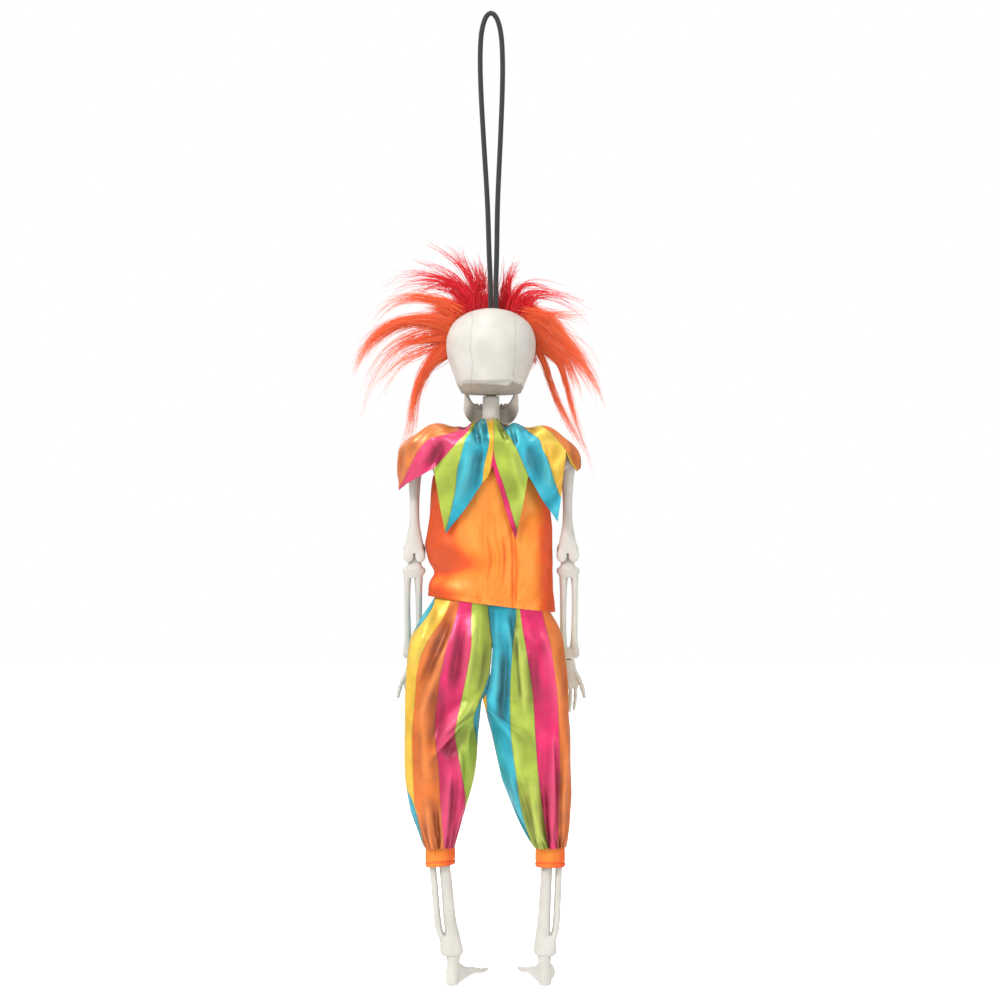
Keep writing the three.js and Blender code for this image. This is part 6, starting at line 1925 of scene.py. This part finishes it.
class DOLL_OT_collar(Operator):
    """Makes the jester collar"""

    bl_idname = "doll.collar"
    bl_label = "Collar"

    def execute(self, context):
        for (name, side), piece in zip(SIDES.items(), collar()):
            dress(piece, material_of(striped_satin))
            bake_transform(piece)
            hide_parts("collar")
        return {"FINISHED"}


class DOLL_OT_trousers(Operator):
    """Makes the striped trousers, each leg in a top and a bottom, with the waist elastic"""

    bl_idname = "doll.trousers"
    bl_label = "Trousers"

    def execute(self, context):
        elastic = band("waist_band_elastic", 0.3, 3, -343.6, 5, 31.2, 15.9, 0.65, cols=120, rows=14)
        dress(elastic, material_of(knitted_elastic))
        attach(elastic, "torso")
        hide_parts("waist_elastic")
        for name, side in SIDES.items():
            top, bottom = trouser_leg(name, side)
            for piece in (top, bottom):
                dress(piece, material_of(striped_satin))
            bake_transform(top)
            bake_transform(bottom)
            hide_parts("trousers_seat", f"{name}_trouser_upper")
            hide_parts(f"{name}_trouser_lower")
        return {"FINISHED"}


class DOLL_OT_cuffs(Operator):
    """Makes the cuffs and the elastics inside them"""

    bl_idname = "doll.cuffs"
    bl_label = "Cuffs"

    def execute(self, context):
        top = KNEE - 30.3
        for name, side in SIDES.items():
            # The left cuff is turned up a little further, and more so on the inside of the leg
            height, slope = (10.6, 0.9) if side > 0 else (11.4, 0)
            cuff = band(
                f"{name}_cuff_band", CUFF_X[name], 0.9, top, height, 8.5, 7.2, 0.8, 14, 0.3, 0.25, 0.35, slope
            )
            elastic = band(
                f"{name}_ankle_elastic", CUFF_X[name], 0.9, top - 3, 5.4, 7.35, 6.05, 0.65, cols=120, rows=14
            )
            parts = (
                (cuff, "orange_satin", orange_satin, "cuff"),
                (elastic, "white_elastic", knitted_elastic, "cuff_elastic"),
            )
            for piece, slot, maker, part in parts:
                dress(piece, material_of(maker))
                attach(piece, f"{name}_shin")
                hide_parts(f"{name}_{part}")
        return {"FINISHED"}


class DOLL_OT_stage(Operator):
    """Sets up the camera, the lamps and the white room"""

    bl_idname = "doll.stage"
    bl_label = "Stage"

    def execute(self, context):
        stage(context.scene)
        return {"FINISHED"}


class DOLL_PT_panel(Panel):
    """Lists the doll's operators and its sizes and colours"""

    bl_label = "Hanging skeleton doll"
    bl_space_type = "VIEW_3D"
    bl_region_type = "UI"
    bl_category = "Doll"

    def draw(self, context):
        for group in (context.scene.doll_sizes, context.scene.doll_colours):
            for key in group.bl_rna.properties.keys():
                if key not in ("rna_type", "name"):
                    self.layout.prop(group, key)
        for step in STEPS:
            self.layout.operator(step.bl_idname)


STEPS = (
    DOLL_OT_cord, DOLL_OT_stage, DOLL_OT_skull, DOLL_OT_bones, DOLL_OT_trunk, DOLL_OT_hair,
    DOLL_OT_shirt, DOLL_OT_collar, DOLL_OT_trousers, DOLL_OT_cuffs,
)
CLASSES = (DollSizes, DollColours, *STEPS, DOLL_PT_panel)


def register():
    """Adds the add-on's classes and properties."""
    for kind in CLASSES:
        bpy.utils.register_class(kind)
    bpy.types.Scene.doll_sizes = PointerProperty(type=DollSizes)
    bpy.types.Scene.doll_colours = PointerProperty(type=DollColours)


def unregister():
    """Takes them out again."""
    del bpy.types.Scene.doll_sizes, bpy.types.Scene.doll_colours
    for kind in reversed(CLASSES):
        bpy.utils.unregister_class(kind)


def main():
    """Runs the operators in turn."""
    register()
    for step in STEPS:
        family, name = step.bl_idname.split(".")
        getattr(getattr(bpy.ops, family), name)()


if __name__ == "__main__":
    main()
